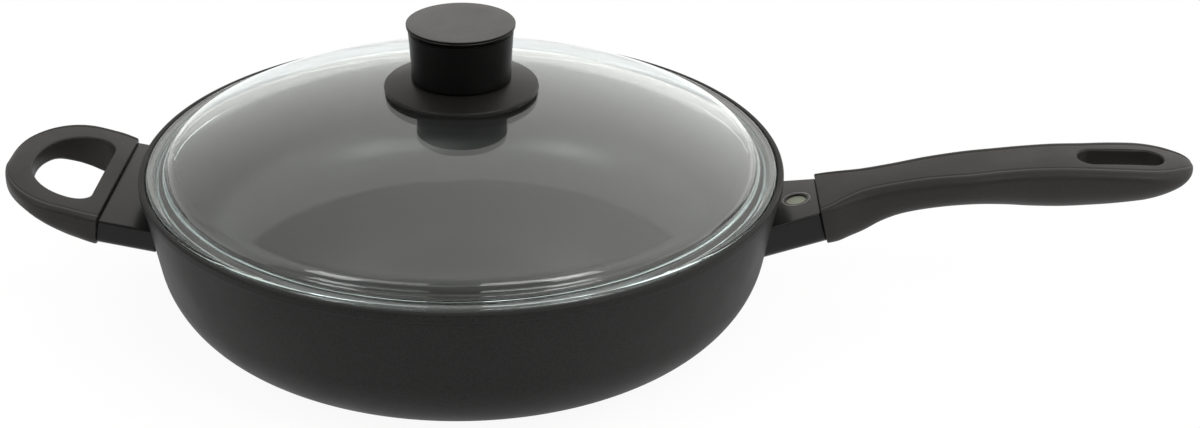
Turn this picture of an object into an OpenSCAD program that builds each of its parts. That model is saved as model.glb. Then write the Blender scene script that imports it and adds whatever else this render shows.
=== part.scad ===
// Braising pan with a glass lid, a long handle and a loop handle.
// Origin at the centre of the underside, +Z up, long handle along +X.

/* [Pan] */
// Outer diameter over the rim
rim_d = 290; // [280:1:300]
// Height from the table to the top of the rim
pan_h = 72; // [68:0.5:80]
// Diameter of the flat underside
base_d = 206; // [196:2:210]
// Thickness of the floor
floor_t = 6; // [5:0.5:7.5]
// Thickness of the wall
wall_t = 3.5; // [2.8:0.1:4.2]
// Radius where the underside turns up
foot_r = 16; // [12:1:20]
// Angle of the flare above the underside
flare_angle = 30; // [26:1:33]
// Radius where the flare turns into the wall
turn_r = 38; // [33:1:41]
// Angle of the upper wall
wall_angle = 80; // [78:1:83]
// Height of the plain band round the rim
band_h = 4.3; // [4:0.1:5]
// How far the band stands out from the wall
band_proud = 0.7; // [0.4:0.1:1.2]
// Rounding of the rim's outer edge
rim_round = 1.2; // [0.6:0.1:1.6]
// Width of the rim outside the glass
lip_w = 2.7; // [2.2:0.1:3.2]

/* [Induction disc] */
// Diameter of the steel disc in the underside
disc_d = 176; // [150:2:184]
// Thickness of the steel disc
disc_t = 1.2; // [0.8:0.1:1.6]
// Diameter of its round holes
disc_hole_d = 5; // [3.5:0.5:6]
// Rings of holes
disc_rings = 3; // [2:1:4]
// Holes in the first ring
disc_ring_holes = 8; // [6:1:9]

/* [Lid] */
// Thickness of the glass dome
glass_t = 4; // [3.5:0.1:5]
// Radius of the outer face of the dome
dome_r = 306; // [290:2:340]
// Width of the shoulder where the dome turns down
shoulder_w = 7; // [6.4:0.1:7.8]
// Steepest slope of the shoulder
shoulder_angle = 70; // [66:1:74]
// Radius of the hollow curve at the shoulder's foot
shoulder_foot_r = 2.8; // [2.2:0.1:3.4]
// Width of the flat land outside the shoulder
land_w = 6.6; // [6:0.1:7.2]
// Radius of the rounded glass edge
bead_r = 2; // [1.8:0.1:2.3]
// Depth of the ledge below the top of the rim
ledge_drop = 3.5; // [2.8:0.1:3.7]
// Width of the ledge
ledge_w = 3.8; // [3.4:0.1:4.6]
// Width of the flat seat under the glass edge
seat_w = 2.6; // [2.2:0.1:3]
// Depth of the skirt below the seat
skirt_h = 4.6; // [3:0.2:6]
// Thickness of the skirt
skirt_t = 6.4; // [5.6:0.2:7]

/* [Knob] */
// Diameter of the flange disc
flange_d = 69; // [62:0.1:76]
// Thickness of the flange at its edge
flange_t = 2.7; // [2:0.1:3.4]
// Slope of the flange's upper face
flange_slope = 13; // [9:1:16]
// Diameter of the grip where it meets the flange
grip_low_d = 44.5; // [41:0.5:46]
// Diameter of the grip under the cap
grip_top_d = 46.8; // [45:0.2:51]
// Height of the grip without its cap
grip_h = 22.6; // [21:0.2:30]
// Wall thickness of the grip
grip_t = 3.6; // [2.5:0.1:4.5]
// Height of the cap's edge
cap_t = 3.4; // [2.6:0.1:4.4]
// How far the cap stands out from the grip
cap_proud = 0.8; // [0.4:0.1:1.2]
// Diameter of the threaded insert
insert_d = 10; // [8:0.5:12]
// Length of the threaded insert
insert_h = 14; // [10:0.5:15]

/* [Long handle] */
// Distance from the rim to the seam between neck and handle
neck_reach = 16; // [13:0.5:20]
// Length of the handle from the seam to its tip
handle_l = 165.5; // [150:0.5:185]
// Greatest width of the handle
handle_w = 37.7; // [34:0.1:42]
// Greatest thickness of the handle
handle_t = 23; // [21:0.5:26]
// Rise of the handle's top face
handle_rise = 20.8; // [16:0.2:26]
// Height of the handle's root above the neck
root_step = 1.8; // [1:0.1:2.4]
// Width of the neck at the pan wall
neck_wall_w = 44; // [38:0.5:48]
// Depth of the neck's top face below the rim, at the seam
neck_drop = 15.2; // [13:0.1:17]
// Upward slope of the neck
neck_slope = 12.5; // [9:0.5:15]
// Rounding of both necks' edges
neck_edge_r = 1; // [0.6:0.1:1.6]
// Lean of the seam between neck and handle
seam_lean = 14.5; // [8:0.5:18]
// Rounding of the handle's top edge
handle_edge_r = 3.1; // [2:0.1:4]
// Length of the hanging slot
slot_l = 38; // [30:0.5:42]
// Width of the hanging slot
slot_w = 15; // [10:0.5:16]
// Distance from the slot's end to the tip
slot_inset = 13; // [11:0.5:18]

/* [Loop handle] */
// Distance from the rim to the seam between neck and loop
side_reach = 13.5; // [11:0.5:18]
// Length of the loop from the seam to its end
loop_l = 49.5; // [46:0.5:60]
// Width of the loop
loop_w = 89; // [84:0.5:96]
// Greatest thickness of the loop
loop_t = 20; // [18:0.5:23]
// Rise of the loop's top face at the seam
loop_angle = 18.5; // [14:0.5:22]
// Height of the loop above its neck
loop_step = 1.9; // [1:0.1:3]
// Lean of the seam between neck and loop
loop_lean = 9; // [5:0.5:12]
// Width of the bar round the finger opening
loop_bar = 14; // [13:0.2:17]
// Width of the bar at the loop's far end
loop_far_bar = 11.8; // [9:0.5:15]
// Width of the bar next to the seam
crossbar_t = 7; // [6:0.2:9]
// Corner radius of the finger opening
corner_r = 8; // [6:0.5:10]
// Rounding of the loop's top edge
loop_edge_r = 2.5; // [1.8:0.1:3.2]
// Depth of the side neck's top face below the rim, at the seam
side_drop = 15.5; // [13:0.1:18]
// Upward slope of the side neck
side_slope = 10.5; // [8:0.5:14]

/* [Heat indicator] */
// Diameter of the indicator disc
indicator_d = 9.6; // [8:0.2:11]
// Thickness of the indicator disc
indicator_t = 1.4; // [1:0.1:2]
// Depth of its face below the neck
indicator_sunk = 1; // [0.6:0.1:1.4]
// Distance from the seam to the indicator's centre
indicator_inset = 9.5; // [8:0.5:10.5]

/* [Brackets] */
// Thickness of the long handle's bracket
tang_t = 6; // [4.5:0.1:6.8]
// Length of that bracket inside the handle
tang_l = 33; // [28:0.5:38]
// Handle material between that bracket and its washer
screw_floor = 2.2; // [1.6:0.1:2.8]
// Thickness of the loop's bracket
prong_t = 3; // [2.4:0.1:3.6]
// Loop material between its bracket and the washers
side_floor = 1.6; // [1.2:0.1:2]

/* [Fasteners] */
// Diameter of every screw shank
screw_d = 5; // [4:0.5:5.5]
// Diameter of every screw head
head_d = 8.6; // [8:0.2:9.2]
// Height of every screw head
head_h = 2.8; // [2.4:0.1:3.2]
// Thickness of the steel washers
washer_t = 1; // [0.8:0.1:1.2]
// Thickness of the silicone seals
seal_t = 1.2; // [1:0.1:1.6]

/* [Hidden] */

turn_fn = 180;
small_fn = 48;
arc_steps = 8;

// Clearances
fit_gap = 0.05;
loose_gap = 0.3;
cut_over = 1;

// Arc in steps, from one angle to another
function arc(cx, cz, r, from, to, steps = arc_steps) =
    [for (i = [0 : steps]) let (a = from + (to - from) * i / steps) [cx + r * cos(a), cz + r * sin(a)]];

function backwards(list) = [for (i = [len(list) - 1 : -1 : 0]) list[i]];

// Pan: flat base, foot arc, flare, turn arc and straight upper wall, in that order

rim_r = rim_d / 2;
base_r = base_d / 2;
band_z = pan_h - band_h;
wall_top_r = rim_r - band_proud;

// The flare's length is what lets the upper wall arrive at the band.
foot_rise = foot_r * (1 - cos(flare_angle));
turn_rise = turn_r * (cos(flare_angle) - cos(wall_angle));
arcs_reach = foot_r * sin(flare_angle) + turn_r * (sin(wall_angle) - sin(flare_angle));
flare_l = (wall_top_r - base_r - arcs_reach - (band_z - foot_rise - turn_rise) / tan(wall_angle))
    / (cos(flare_angle) - sin(flare_angle) / tan(wall_angle));
turn_x = base_r + foot_r * sin(flare_angle) + flare_l * cos(flare_angle) - turn_r * sin(flare_angle);
turn_z = foot_rise + flare_l * sin(flare_angle) + turn_r * cos(flare_angle);

function wall_r_at(z) = wall_top_r - (band_z - z) / tan(wall_angle);

outer_wall = concat(
    arc(base_r, foot_r, foot_r, -90, flare_angle - 90),
    arc(turn_x, turn_z, turn_r, flare_angle - 90, wall_angle - 90, 2 * arc_steps));

inner_turn_r = turn_r - wall_t;
floor_r = turn_x + inner_turn_r * sin(flare_angle)
    - (turn_z - inner_turn_r * cos(flare_angle) - floor_t) / tan(flare_angle);
inner_wall = concat(
    [[floor_r, floor_t]],
    arc(turn_x, turn_z, inner_turn_r, flare_angle - 90, wall_angle - 90, 2 * arc_steps));

// Lid ledge inside the rim
ledge_z = pan_h - ledge_drop;
lip_r = rim_r - lip_w;
ledge_r = lip_r - ledge_w;
rim_edge_r = min(rim_round, 2 * lip_w / 3);
lip_round = rim_edge_r / 2;
thick_r = wall_r_at(band_z - band_h) - wall_t / sin(wall_angle);

// From the inner wall up over the rim and down to the outer wall
rim_outline = concat(
    [[thick_r, band_z - band_h],
     [ledge_r, band_z],
     [ledge_r, ledge_z],
     [lip_r, ledge_z]],
    arc(lip_r + lip_round, pan_h - lip_round, lip_round, 180, 90, arc_steps / 2),
    arc(rim_r - rim_edge_r, pan_h - rim_edge_r, rim_edge_r, 90, 0),
    [[rim_r, band_z + band_proud], [wall_top_r, band_z]]);

pan_outline = concat([[0, 0], [0, floor_t]], inner_wall, rim_outline, backwards(outer_wall));

// Everything fixed to the wall ends this far from it.
module wall_cutter(gap = fit_gap) {
    rotate_extrude($fn = turn_fn)
        polygon(concat([[0, 0]],
            [for (p = outer_wall) [p[0] + gap, p[1]]],
            [[wall_top_r + gap, band_z], [rim_r + gap, band_z + band_proud], [rim_r + gap, pan_h],
             [0, pan_h]]));
}

// Holes in even rings, each ring with as many more as the first one has
disc_r = disc_d / 2;
ring_pitch = (disc_r - disc_hole_d) / (disc_rings + 0.5);

module disc_holes(d, h) {
    for (ring = [1 : disc_rings])
        for (i = [1 : disc_ring_holes * ring])
            rotate(360 * (i + ring / 2) / (disc_ring_holes * ring))
                translate([ring_pitch * (ring + 0.5), 0, 0])
                    cylinder(d = d, h = h, $fn = small_fn / 2);
}

module pan_body() {
    color("#2f3032")
        difference() {
            rotate_extrude($fn = turn_fn) polygon(pan_outline);
            translate([0, 0, -cut_over])
                difference() {
                    cylinder(r = disc_r + fit_gap, h = disc_t + fit_gap + cut_over, $fn = turn_fn);
                    disc_holes(disc_hole_d - 2 * fit_gap, disc_t + 2 * cut_over);
                }
        }
}

module induction_disc() {
    color("#a9abad")
        difference() {
            cylinder(r = disc_r, h = disc_t, $fn = turn_fn);
            translate([0, 0, -cut_over]) disc_holes(disc_hole_d, disc_t + 2 * cut_over);
        }
}

// Smooth curves through the rows of a table, whose first column is the place along the curve

function slope_at(rows, i, col) =
    let (a = max(i - 1, 0), b = min(i + 1, len(rows) - 1))
    (rows[b][col] - rows[a][col]) / (rows[b][0] - rows[a][0]);

function row_below(rows, t, i = 0) =
    i >= len(rows) - 2 || rows[i + 1][0] > t ? i : row_below(rows, t, i + 1);

function curve(rows, t, col) =
    let (i = row_below(rows, t),
         span = rows[i + 1][0] - rows[i][0],
         u = (t - rows[i][0]) / span,
         m0 = slope_at(rows, i, col) * span,
         m1 = slope_at(rows, i + 1, col) * span)
    rows[i][col] * (2 * u ^ 3 - 3 * u ^ 2 + 1) + m0 * (u ^ 3 - 2 * u ^ 2 + u)
    + rows[i + 1][col] * (3 * u ^ 2 - 2 * u ^ 3) + m1 * (u ^ 3 - u ^ 2);

// Skin through rings of equal count, with its two ends closed
module loft(rings) {
    n = len(rings[0]);
    m = len(rings);
    sides = [for (i = [0 : m - 2], j = [0 : n - 1])
        let (a = i * n + j, b = i * n + (j + 1) % n)
        each [[a, b, b + n], [a, b + n, a + n]]];
    ends = [[for (j = [n - 1 : -1 : 0]) j], [for (j = [0 : n - 1]) (m - 1) * n + j]];
    polyhedron([for (ring = rings) each ring], concat(sides, ends), convexity = 6);
}

belly_steps = 8;
edge_steps = 3;

// Half a cross-section from the edge of its flat top to the middle of its belly, as [across, up].
// The side is straight down to side_h, and a higher power makes the belly squarer.
function half_section(half_w, depth, edge_r, side_h, power) = concat(
    arc(half_w - edge_r, -edge_r, edge_r, 90, 0, edge_steps),
    [for (i = [side_h > edge_r ? 0 : 1 : belly_steps])
        let (a = 90 * i / belly_steps, h = max(side_h, edge_r))
        [half_w * cos(a) ^ (2 / power), -h - (depth - h) * sin(a) ^ (2 / power)]]);

// Closed ring of that section at x, with its top face at z. A lean moves its foot along +X.
function section(x, z, half_w, depth, edge_r, side_h, power, lean) =
    let (half = half_section(half_w, depth, edge_r, side_h, power),
         n = len(half),
         xs = [for (p = half) x - p[1] * tan(lean)])
    concat(
        [for (i = [0 : n - 1]) [xs[i], half[i][0], z + half[i][1]]],
        [for (i = [n - 2 : -1 : 0]) [xs[i], -half[i][0], z + half[i][1]]]);

// Falls from 1 to 0 in a quarter ellipse over the last stretch before an end
function round_off(rest, l) = rest >= l ? 1 : sqrt(1 - (1 - rest / l) ^ 2);

// Bar along +X, centred on the axis
module bar(x0, x1, w, t) {
    translate([x0, -w / 2, -t / 2]) cube([x1 - x0, w, t]);
}

// Screw with its head down at z = 0 and a cross recess in the head
module screw(shank_l) {
    recess_w = head_d / 7;
    recess_l = 3 * head_d / 5;
    difference() {
        union() {
            cylinder(d = head_d, h = head_h, $fn = small_fn);
            cylinder(d = screw_d, h = head_h + shank_l, $fn = small_fn);
        }
        for (turn = [0, 90])
            rotate(turn)
                translate([-recess_l / 2, -recess_w / 2, -cut_over])
                    cube([recess_l, recess_w, cut_over + head_h / 2]);
    }
}

module washer(d) {
    difference() {
        cylinder(d = d, h = washer_t, $fn = small_fn);
        translate([0, 0, -cut_over])
            cylinder(d = screw_d + 2 * fit_gap, h = washer_t + 2 * cut_over, $fn = small_fn);
    }
}

// Long handle. Shares along it: [along, top of handle_rise, width of handle_w, depth of handle_t, power]
handle_shares = [
    [0.00, 0.000, 1.055, 0.810, 6.0],
    [0.03, 0.080, 1.010, 0.855, 5.2],
    [0.06, 0.170, 0.920, 0.880, 4.4],
    [0.10, 0.275, 0.820, 0.880, 3.8],
    [0.15, 0.380, 0.765, 0.800, 3.1],
    [0.21, 0.490, 0.760, 0.740, 2.7],
    [0.30, 0.645, 0.805, 0.740, 2.5],
    [0.40, 0.765, 0.875, 0.755, 2.4],
    [0.48, 0.855, 0.865, 0.830, 2.4],
    [0.56, 0.930, 0.875, 0.920, 2.4],
    [0.64, 0.975, 0.910, 0.950, 2.4],
    [0.72, 0.990, 0.940, 0.920, 2.3],
    [0.78, 1.000, 0.980, 0.870, 2.3],
    [0.85, 1.000, 1.000, 0.790, 2.2],
    [1.00, 0.970, 1.000, 0.550, 2.0]];
handle_rings = 30;
tip_rings = 9;
tip_end_angle = 88;
tip_share = 0.85;
nose_share = 0.8;
tip_top_power = 0.35;
tip_side_power = 0.9;

seam_x = rim_r + neck_reach;
neck_top_z = pan_h - neck_drop;
root_z = neck_top_z + root_step;
root_w = handle_w * handle_shares[0][2];
root_t = handle_t * handle_shares[0][3];
nose_z = root_z + nose_share * handle_rise;

// Rings are even along the grip, then closer together round the tip.
handle_stops = concat(
    [for (i = [0 : handle_rings]) tip_share * i / handle_rings],
    [for (i = [1 : tip_rings]) tip_share + (1 - tip_share) * sin(tip_end_angle * i / tip_rings)]);

function handle_top(t) = root_z + handle_rise * curve(handle_shares, t, 1);

function handle_ring(t) =
    let (tip = round_off(1 - t, 1 - tip_share),
         low_z = handle_top(t) - handle_t * curve(handle_shares, t, 3),
         top = nose_z + (handle_top(t) - nose_z) * tip ^ tip_top_power,
         depth = top - nose_z - (low_z - nose_z) * tip ^ tip_side_power,
         half_w = handle_w / 2 * curve(handle_shares, t, 2) * tip ^ tip_side_power,
         edge_r = min(handle_edge_r, depth / 3, half_w / 3))
    section(seam_x + handle_l * t, top, half_w, depth, edge_r, edge_r, curve(handle_shares, t, 4),
        seam_lean * (1 - t));

// Tang: a flat bar welded to the wall, which runs through the neck into the handle
tang_w = 0.5 * root_w;
tang_slope = 16;
tang_z = neck_top_z - 0.42 * root_t;
tang_in = neck_reach + 3 * wall_t;
weld_t = 0.7 * wall_t;
handle_screw_at = 0.6 * tang_l;
handle_seat = tang_t / 2 + screw_floor;

// Frame of the tang: x along it from the seam, z square to it
module at_tang() {
    translate([seam_x, 0, tang_z]) rotate([0, -tang_slope, 0]) children();
}

module tang_shape(gap) {
    bar(-tang_in, tang_l + gap, tang_w + 2 * gap, tang_t + 2 * gap);
    bar(-tang_in, -neck_reach + weld_t + gap, tang_w + 2 * weld_t + 2 * gap, tang_t + weld_t + 2 * gap);
}

module handle_bracket() {
    color("#8d8f92")
        difference() {
            at_tang()
                difference() {
                    tang_shape(0);
                    translate([handle_screw_at, 0, -tang_t])
                        cylinder(d = screw_d + 2 * fit_gap, h = 2 * tang_t, $fn = small_fn);
                }
            wall_cutter();
        }
}

neck_w = root_w - 2 * root_step;
neck_t = root_t - 1.5 * root_step;
neck_power = 5;

// The necks' seam faces lean with the handles' and almost touch them.
neck_end_x = seam_x + root_step * tan(seam_lean) - fit_gap;

function neck_ring(from_seam, w) =
    section(neck_end_x - from_seam, neck_top_z - from_seam * tan(neck_slope), w / 2, neck_t,
        neck_edge_r, neck_t / 3, neck_power, seam_lean);

module handle_neck() {
    flare = (neck_wall_w - neck_w) / neck_reach;
    color("#1d1d1f")
        difference() {
            loft([neck_ring(tang_in, neck_w + flare * tang_in), neck_ring(0, neck_w)]);
            wall_cutter();
            at_tang() tang_shape(loose_gap);
            at_indicator()
                translate([0, 0, -indicator_sunk - indicator_t - fit_gap])
                    cylinder(d = indicator_d + 2 * fit_gap, h = indicator_sunk + indicator_t + cut_over,
                        $fn = small_fn);
        }
}

// Frame on the neck's top face at the indicator's centre
module at_indicator() {
    translate([seam_x, 0, neck_top_z])
        rotate([0, -neck_slope, 0])
            translate([-indicator_inset, 0, 0]) children();
}

module indicator_disc() {
    color("#737a66")
        at_indicator()
            translate([0, 0, -indicator_sunk - indicator_t])
                cylinder(d = indicator_d, h = indicator_t, $fn = small_fn);
}

slot_x = seam_x + handle_l - slot_inset - slot_l / 2;

module slot_cutter(l, w, h) {
    for (end = [-1, 1])
        translate([end * (l - w) / 2, 0, 0]) cylinder(d = w, h = h, $fn = small_fn);
    translate([-(l - w) / 2, -w / 2, 0]) cube([l - w, w, h]);
}

module long_handle() {
    color("#333333")
        difference() {
            loft([for (t = handle_stops) handle_ring(t)]);
            translate([slot_x, 0, 0]) slot_cutter(slot_l, slot_w, pan_h + handle_rise);
            at_tang() tang_shape(fit_gap);
            at_tang()
                translate([handle_screw_at, 0, -handle_seat - handle_t]) {
                    cylinder(d = screw_d + 2 * fit_gap, h = handle_t + handle_seat, $fn = small_fn);
                    cylinder(d = head_d + 2 * loose_gap, h = handle_t, $fn = small_fn);
                }
        }
}

module handle_screw() {
    color("#b4b6b8")
        at_tang()
            translate([handle_screw_at, 0, -handle_seat - washer_t - head_h])
                screw(washer_t + screw_floor + 0.9 * tang_t);
}

module handle_washer() {
    color("#c4c6c8")
        at_tang()
            translate([handle_screw_at, 0, -handle_seat - washer_t]) washer(head_d);
}

// Loop handle. It is drawn towards +X and turned to the other side of the pan.
// Shares along it: [along, width of loop_w, thickness of loop_t, power]
loop_shares = [
    [0.00, 0.975, 0.830, 5.0],
    [0.13, 1.000, 0.890, 3.6],
    [0.27, 1.000, 0.925, 3.0],
    [0.38, 1.000, 0.830, 3.0],
    [0.54, 1.000, 0.640, 3.2],
    [0.70, 1.000, 0.430, 3.6],
    [1.00, 1.000, 0.330, 3.0]];
loop_rings = 6;
loop_end_rings = 16;
loop_bow_r = 3.7 * loop_l;
loop_straight = 0.35 * loop_l;
loop_nose = 0.1 * loop_l;

side_seam_x = rim_r + side_reach;
side_top_z = pan_h - side_drop;
loop_z = side_top_z + loop_step;

// Height of the loop's top face at a distance from the seam
function loop_top(d) = loop_z + d * tan(loop_angle) - d ^ 2 / (2 * loop_bow_r);

loop_nose_z = loop_top(loop_l) - loop_edge_r;

// Rings are even along the straight sides, then closer together round the end.
loop_stops = concat(
    [for (i = [0 : loop_rings]) loop_straight * i / loop_rings],
    [for (i = [1 : loop_end_rings])
        loop_straight + (loop_l - loop_straight) * sin(tip_end_angle * i / loop_end_rings)]);

function loop_ring(d) =
    let (share = d / loop_l,
         end = round_off(loop_l - d, loop_nose),
         low_z = loop_top(d) - loop_t * curve(loop_shares, share, 2),
         top = loop_nose_z + (loop_top(d) - loop_nose_z) * end,
         depth = top - loop_nose_z - (low_z - loop_nose_z) * end,
         half_w = loop_w / 2 * curve(loop_shares, share, 1) * round_off(loop_l - d, loop_l - loop_straight),
         edge_r = min(loop_edge_r, depth / 3, half_w / 3))
    section(side_seam_x + d, top, half_w, depth, edge_r, edge_r, curve(loop_shares, share, 3),
        loop_lean * (1 - share));

// The finger opening is straight along the seam and half an ellipse at its far end.
half_opening = loop_w / 2 - loop_bar;
opening_end = loop_l - loop_far_bar;
opening_straight = crossbar_t + corner_r;
opening_half = concat(
    arc(opening_straight, half_opening - corner_r, corner_r, 180, 90),
    [for (i = [1 : 2 * arc_steps])
        let (a = 90 * i / (2 * arc_steps))
        [opening_straight + (opening_end - opening_straight) * sin(a), half_opening * cos(a)]]);

module opening_cutter() {
    translate([side_seam_x, 0, 0])
        linear_extrude(pan_h + loop_l)
            for (side = [0, 1])
                mirror([0, side, 0])
                    polygon(concat([[crossbar_t, -fit_gap]], opening_half, [[opening_end, -fit_gap]]));
}

// Two prongs reach from a plate at the wall into the loop's sides.
prong_w = 0.58 * loop_bar;
prong_y = half_opening + 0.36 * loop_bar;
prong_l = 0.25 * loop_l;
prong_z = side_top_z - 1.4 * prong_t;
prong_in = side_reach + 4 * wall_t;
side_screw_at = 0.5 * prong_l;
side_seat = prong_t / 2 + side_floor;

module on_other_side() {
    rotate([0, 0, 180]) children();
}

// Frame of the side bracket: x along the prongs from the seam, z square to them
module at_prongs() {
    on_other_side() translate([side_seam_x, 0, prong_z]) rotate([0, -tang_slope, 0]) children();
}

module at_side_screws(z) {
    at_prongs()
        for (side = [-1, 1])
            translate([side_screw_at, side * prong_y, z]) children();
}

module prong_shape(gap) {
    for (side = [-1, 1])
        translate([0, side * prong_y, 0])
            bar(-prong_in, prong_l + gap, prong_w + 2 * gap, prong_t + 2 * gap);
    bar(-prong_in, -side_reach / 2 + gap, 2 * prong_y + prong_w + 2 * gap, prong_t + 2 * gap);
}

module side_bracket() {
    color("#8d8f92")
        difference() {
            at_prongs() prong_shape(0);
            at_side_screws(-prong_t) cylinder(d = screw_d + 2 * fit_gap, h = 2 * prong_t, $fn = small_fn);
            wall_cutter();
        }
}

side_neck_w = loop_w * loop_shares[0][1] - 2 * root_step;
side_neck_t = loop_t * loop_shares[0][2] - 1.6 * loop_step;

side_neck_end_x = side_seam_x + loop_step * tan(loop_lean) - fit_gap;

function side_neck_ring(from_seam) =
    section(side_neck_end_x - from_seam, side_top_z - from_seam * tan(side_slope), side_neck_w / 2,
        side_neck_t, neck_edge_r, side_neck_t / 3, neck_power, loop_lean);

module side_neck() {
    color("#1d1d1f")
        difference() {
            on_other_side() loft([side_neck_ring(prong_in), side_neck_ring(0)]);
            wall_cutter();
            at_prongs() prong_shape(loose_gap);
        }
}

module side_handle() {
    color("#2c2c2d")
        difference() {
            on_other_side()
                difference() {
                    loft([for (d = loop_stops) loop_ring(d)]);
                    opening_cutter();
                }
            at_prongs() prong_shape(fit_gap);
            at_side_screws(-side_seat - loop_t) {
                cylinder(d = screw_d + 2 * fit_gap, h = loop_t + side_seat, $fn = small_fn);
                cylinder(d = head_d + 2 * loose_gap, h = loop_t, $fn = small_fn);
            }
        }
}

module side_screws() {
    color("#b4b6b8")
        at_side_screws(-side_seat - washer_t - head_h) screw(washer_t + side_floor + prong_t);
}

module side_washers() {
    color("#c4c6c8")
        at_side_screws(-side_seat - washer_t) washer(head_d);
}

// Lid glass: a dome that turns down to a flat land with a rounded edge, a seat under it and a skirt

glass_r = lip_r - loose_gap;
seat_z = ledge_z + loose_gap;
bead_x = glass_r - bead_r;
bead_z = seat_z + bead_r;
land_z = bead_z + bead_r;
land_r = glass_r - land_w;
shoulder_r = land_r - shoulder_w;
dome_edge_angle = asin(shoulder_r / dome_r);
shoulder_top_r = (shoulder_w - shoulder_foot_r * sin(shoulder_angle))
    / (sin(shoulder_angle) - sin(dome_edge_angle));
shoulder_drop = shoulder_top_r * (cos(dome_edge_angle) - cos(shoulder_angle))
    + shoulder_foot_r * (1 - cos(shoulder_angle));
dome_z = land_z + shoulder_drop - sqrt(dome_r ^ 2 - shoulder_r ^ 2);
dome_top_z = dome_z + dome_r;

// Heights of the glass's two faces at a radius
function dome_at(r) = dome_z + sqrt(dome_r ^ 2 - r ^ 2);
function dome_under(r) = dome_z + sqrt((dome_r - glass_t) ^ 2 - r ^ 2);

function dome_points(from, to, steps) =
    [for (i = [0 : steps]) let (r = from + (to - from) * i / steps) [r, dome_at(r)]];
function under_points(from, to, steps) =
    [for (i = [0 : steps]) let (r = from + (to - from) * i / steps) [r, dome_under(r)]];

skirt_r = bead_x - seat_w;
skirt_in_r = skirt_r - skirt_t;
skirt_z = seat_z - skirt_h;
skirt_round = skirt_t / 3;
glass_hole_r = 0.9 * screw_d;
shoulder_x = shoulder_r - shoulder_top_r * sin(dome_edge_angle);
shoulder_z = dome_at(shoulder_r) - shoulder_top_r * cos(dome_edge_angle);

glass_outline = concat(
    dome_points(glass_hole_r, shoulder_r, 3 * arc_steps),
    arc(shoulder_x, shoulder_z, shoulder_top_r, 90 - dome_edge_angle, 90 - shoulder_angle),
    arc(land_r, land_z + shoulder_foot_r, shoulder_foot_r, 270 - shoulder_angle, 270, arc_steps / 2),
    arc(bead_x, bead_z, bead_r, 90, -90),
    [[skirt_r, seat_z]],
    arc(skirt_r - skirt_round, skirt_z + skirt_round, skirt_round, 0, -90, arc_steps / 2),
    arc(skirt_in_r + skirt_round, skirt_z + skirt_round, skirt_round, -90, -180, arc_steps / 2),
    [[skirt_in_r, seat_z + skirt_round]],
    under_points(skirt_in_r - skirt_t / 2, glass_hole_r, 3 * arc_steps));

module lid_glass() {
    color("#8fa3a6", 0.4) rotate_extrude($fn = turn_fn) polygon(glass_outline);
}

// Knob: flange, grip and cap on the dome, and what clamps them to the glass

flange_r = flange_d / 2;
grip_low_r = grip_low_d / 2;
grip_top_r = grip_top_d / 2;
bore_r = screw_d / 2 + loose_gap;
sleeve_r = glass_hole_r - loose_gap;
seal_r = grip_low_r - grip_t;
seal_top_z = dome_top_z + seal_t;
flange_edge_z = dome_at(flange_r) + loose_gap + flange_t;
flange_top_z = flange_edge_z + (flange_r - grip_low_r) * tan(flange_slope);
flange_round = flange_t / 3;

module upper_seal() {
    color("#2a2a2a")
        rotate_extrude($fn = turn_fn)
            polygon(concat(
                [for (p = dome_points(sleeve_r, seal_r, arc_steps)) [p[0], p[1] + fit_gap]],
                [[seal_r, seal_top_z], [bore_r, seal_top_z],
                 [bore_r, dome_top_z - glass_t / 2], [sleeve_r, dome_top_z - glass_t / 2]]));
}

module knob_flange() {
    color("#262626")
        rotate_extrude($fn = turn_fn)
            polygon(concat(
                [[bore_r, seal_top_z + fit_gap], [seal_r + loose_gap, seal_top_z + fit_gap]],
                [for (p = dome_points(seal_r + loose_gap, flange_r - flange_round, arc_steps))
                    [p[0], p[1] + loose_gap]],
                arc(flange_r - flange_round, flange_edge_z - flange_t + flange_round, flange_round, -90, 0,
                    arc_steps / 2),
                arc(flange_r - flange_round, flange_edge_z - flange_round, flange_round,
                    0, 90 - flange_slope, arc_steps / 2),
                [[grip_low_r, flange_top_z], [bore_r, flange_top_z]]));
}

grip_z = flange_top_z + fit_gap;
cap_z = grip_z + grip_h;
grip_round = grip_t / 2;
grip_in_r = grip_low_r - grip_t;
grip_curve = 1.6;
insert_r = insert_d / 2;
boss_r = insert_r + grip_t;
boss_top_z = grip_z + insert_h + grip_t / 3;

module knob_body() {
    color("#232323")
        rotate_extrude($fn = turn_fn)
            polygon(concat(
                [[insert_r + fit_gap, grip_z]],
                arc(grip_low_r - grip_round, grip_z + grip_round, grip_round, -90, 0, arc_steps / 2),
                [for (i = [1 : arc_steps])
                    let (share = i / arc_steps)
                    [grip_low_r + (grip_top_r - grip_low_r) * share ^ grip_curve,
                     grip_z + grip_round + (grip_h - grip_round) * share]],
                [[grip_in_r, cap_z], [grip_in_r, grip_z + grip_t], [boss_r, grip_z + grip_t],
                 [boss_r, boss_top_z], [insert_r + fit_gap, boss_top_z]]));
}

module knob_cap() {
    cap_r = grip_top_r + cap_proud;
    cap_round = 0.6 * cap_t;
    cap_foot_round = 0.3 * cap_t;
    spigot_h = grip_t;
    color("#2e2e2e")
        rotate_extrude($fn = turn_fn)
            polygon(concat(
                [[0, cap_z - spigot_h], [grip_in_r - fit_gap, cap_z - spigot_h],
                 [grip_in_r - fit_gap, cap_z + fit_gap]],
                arc(cap_r - cap_foot_round, cap_z + fit_gap + cap_foot_round, cap_foot_round, -90, 0),
                arc(cap_r - cap_round, cap_z + cap_t - cap_round, cap_round, 0, 90),
                [[0, cap_z + cap_t]]));
}

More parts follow.
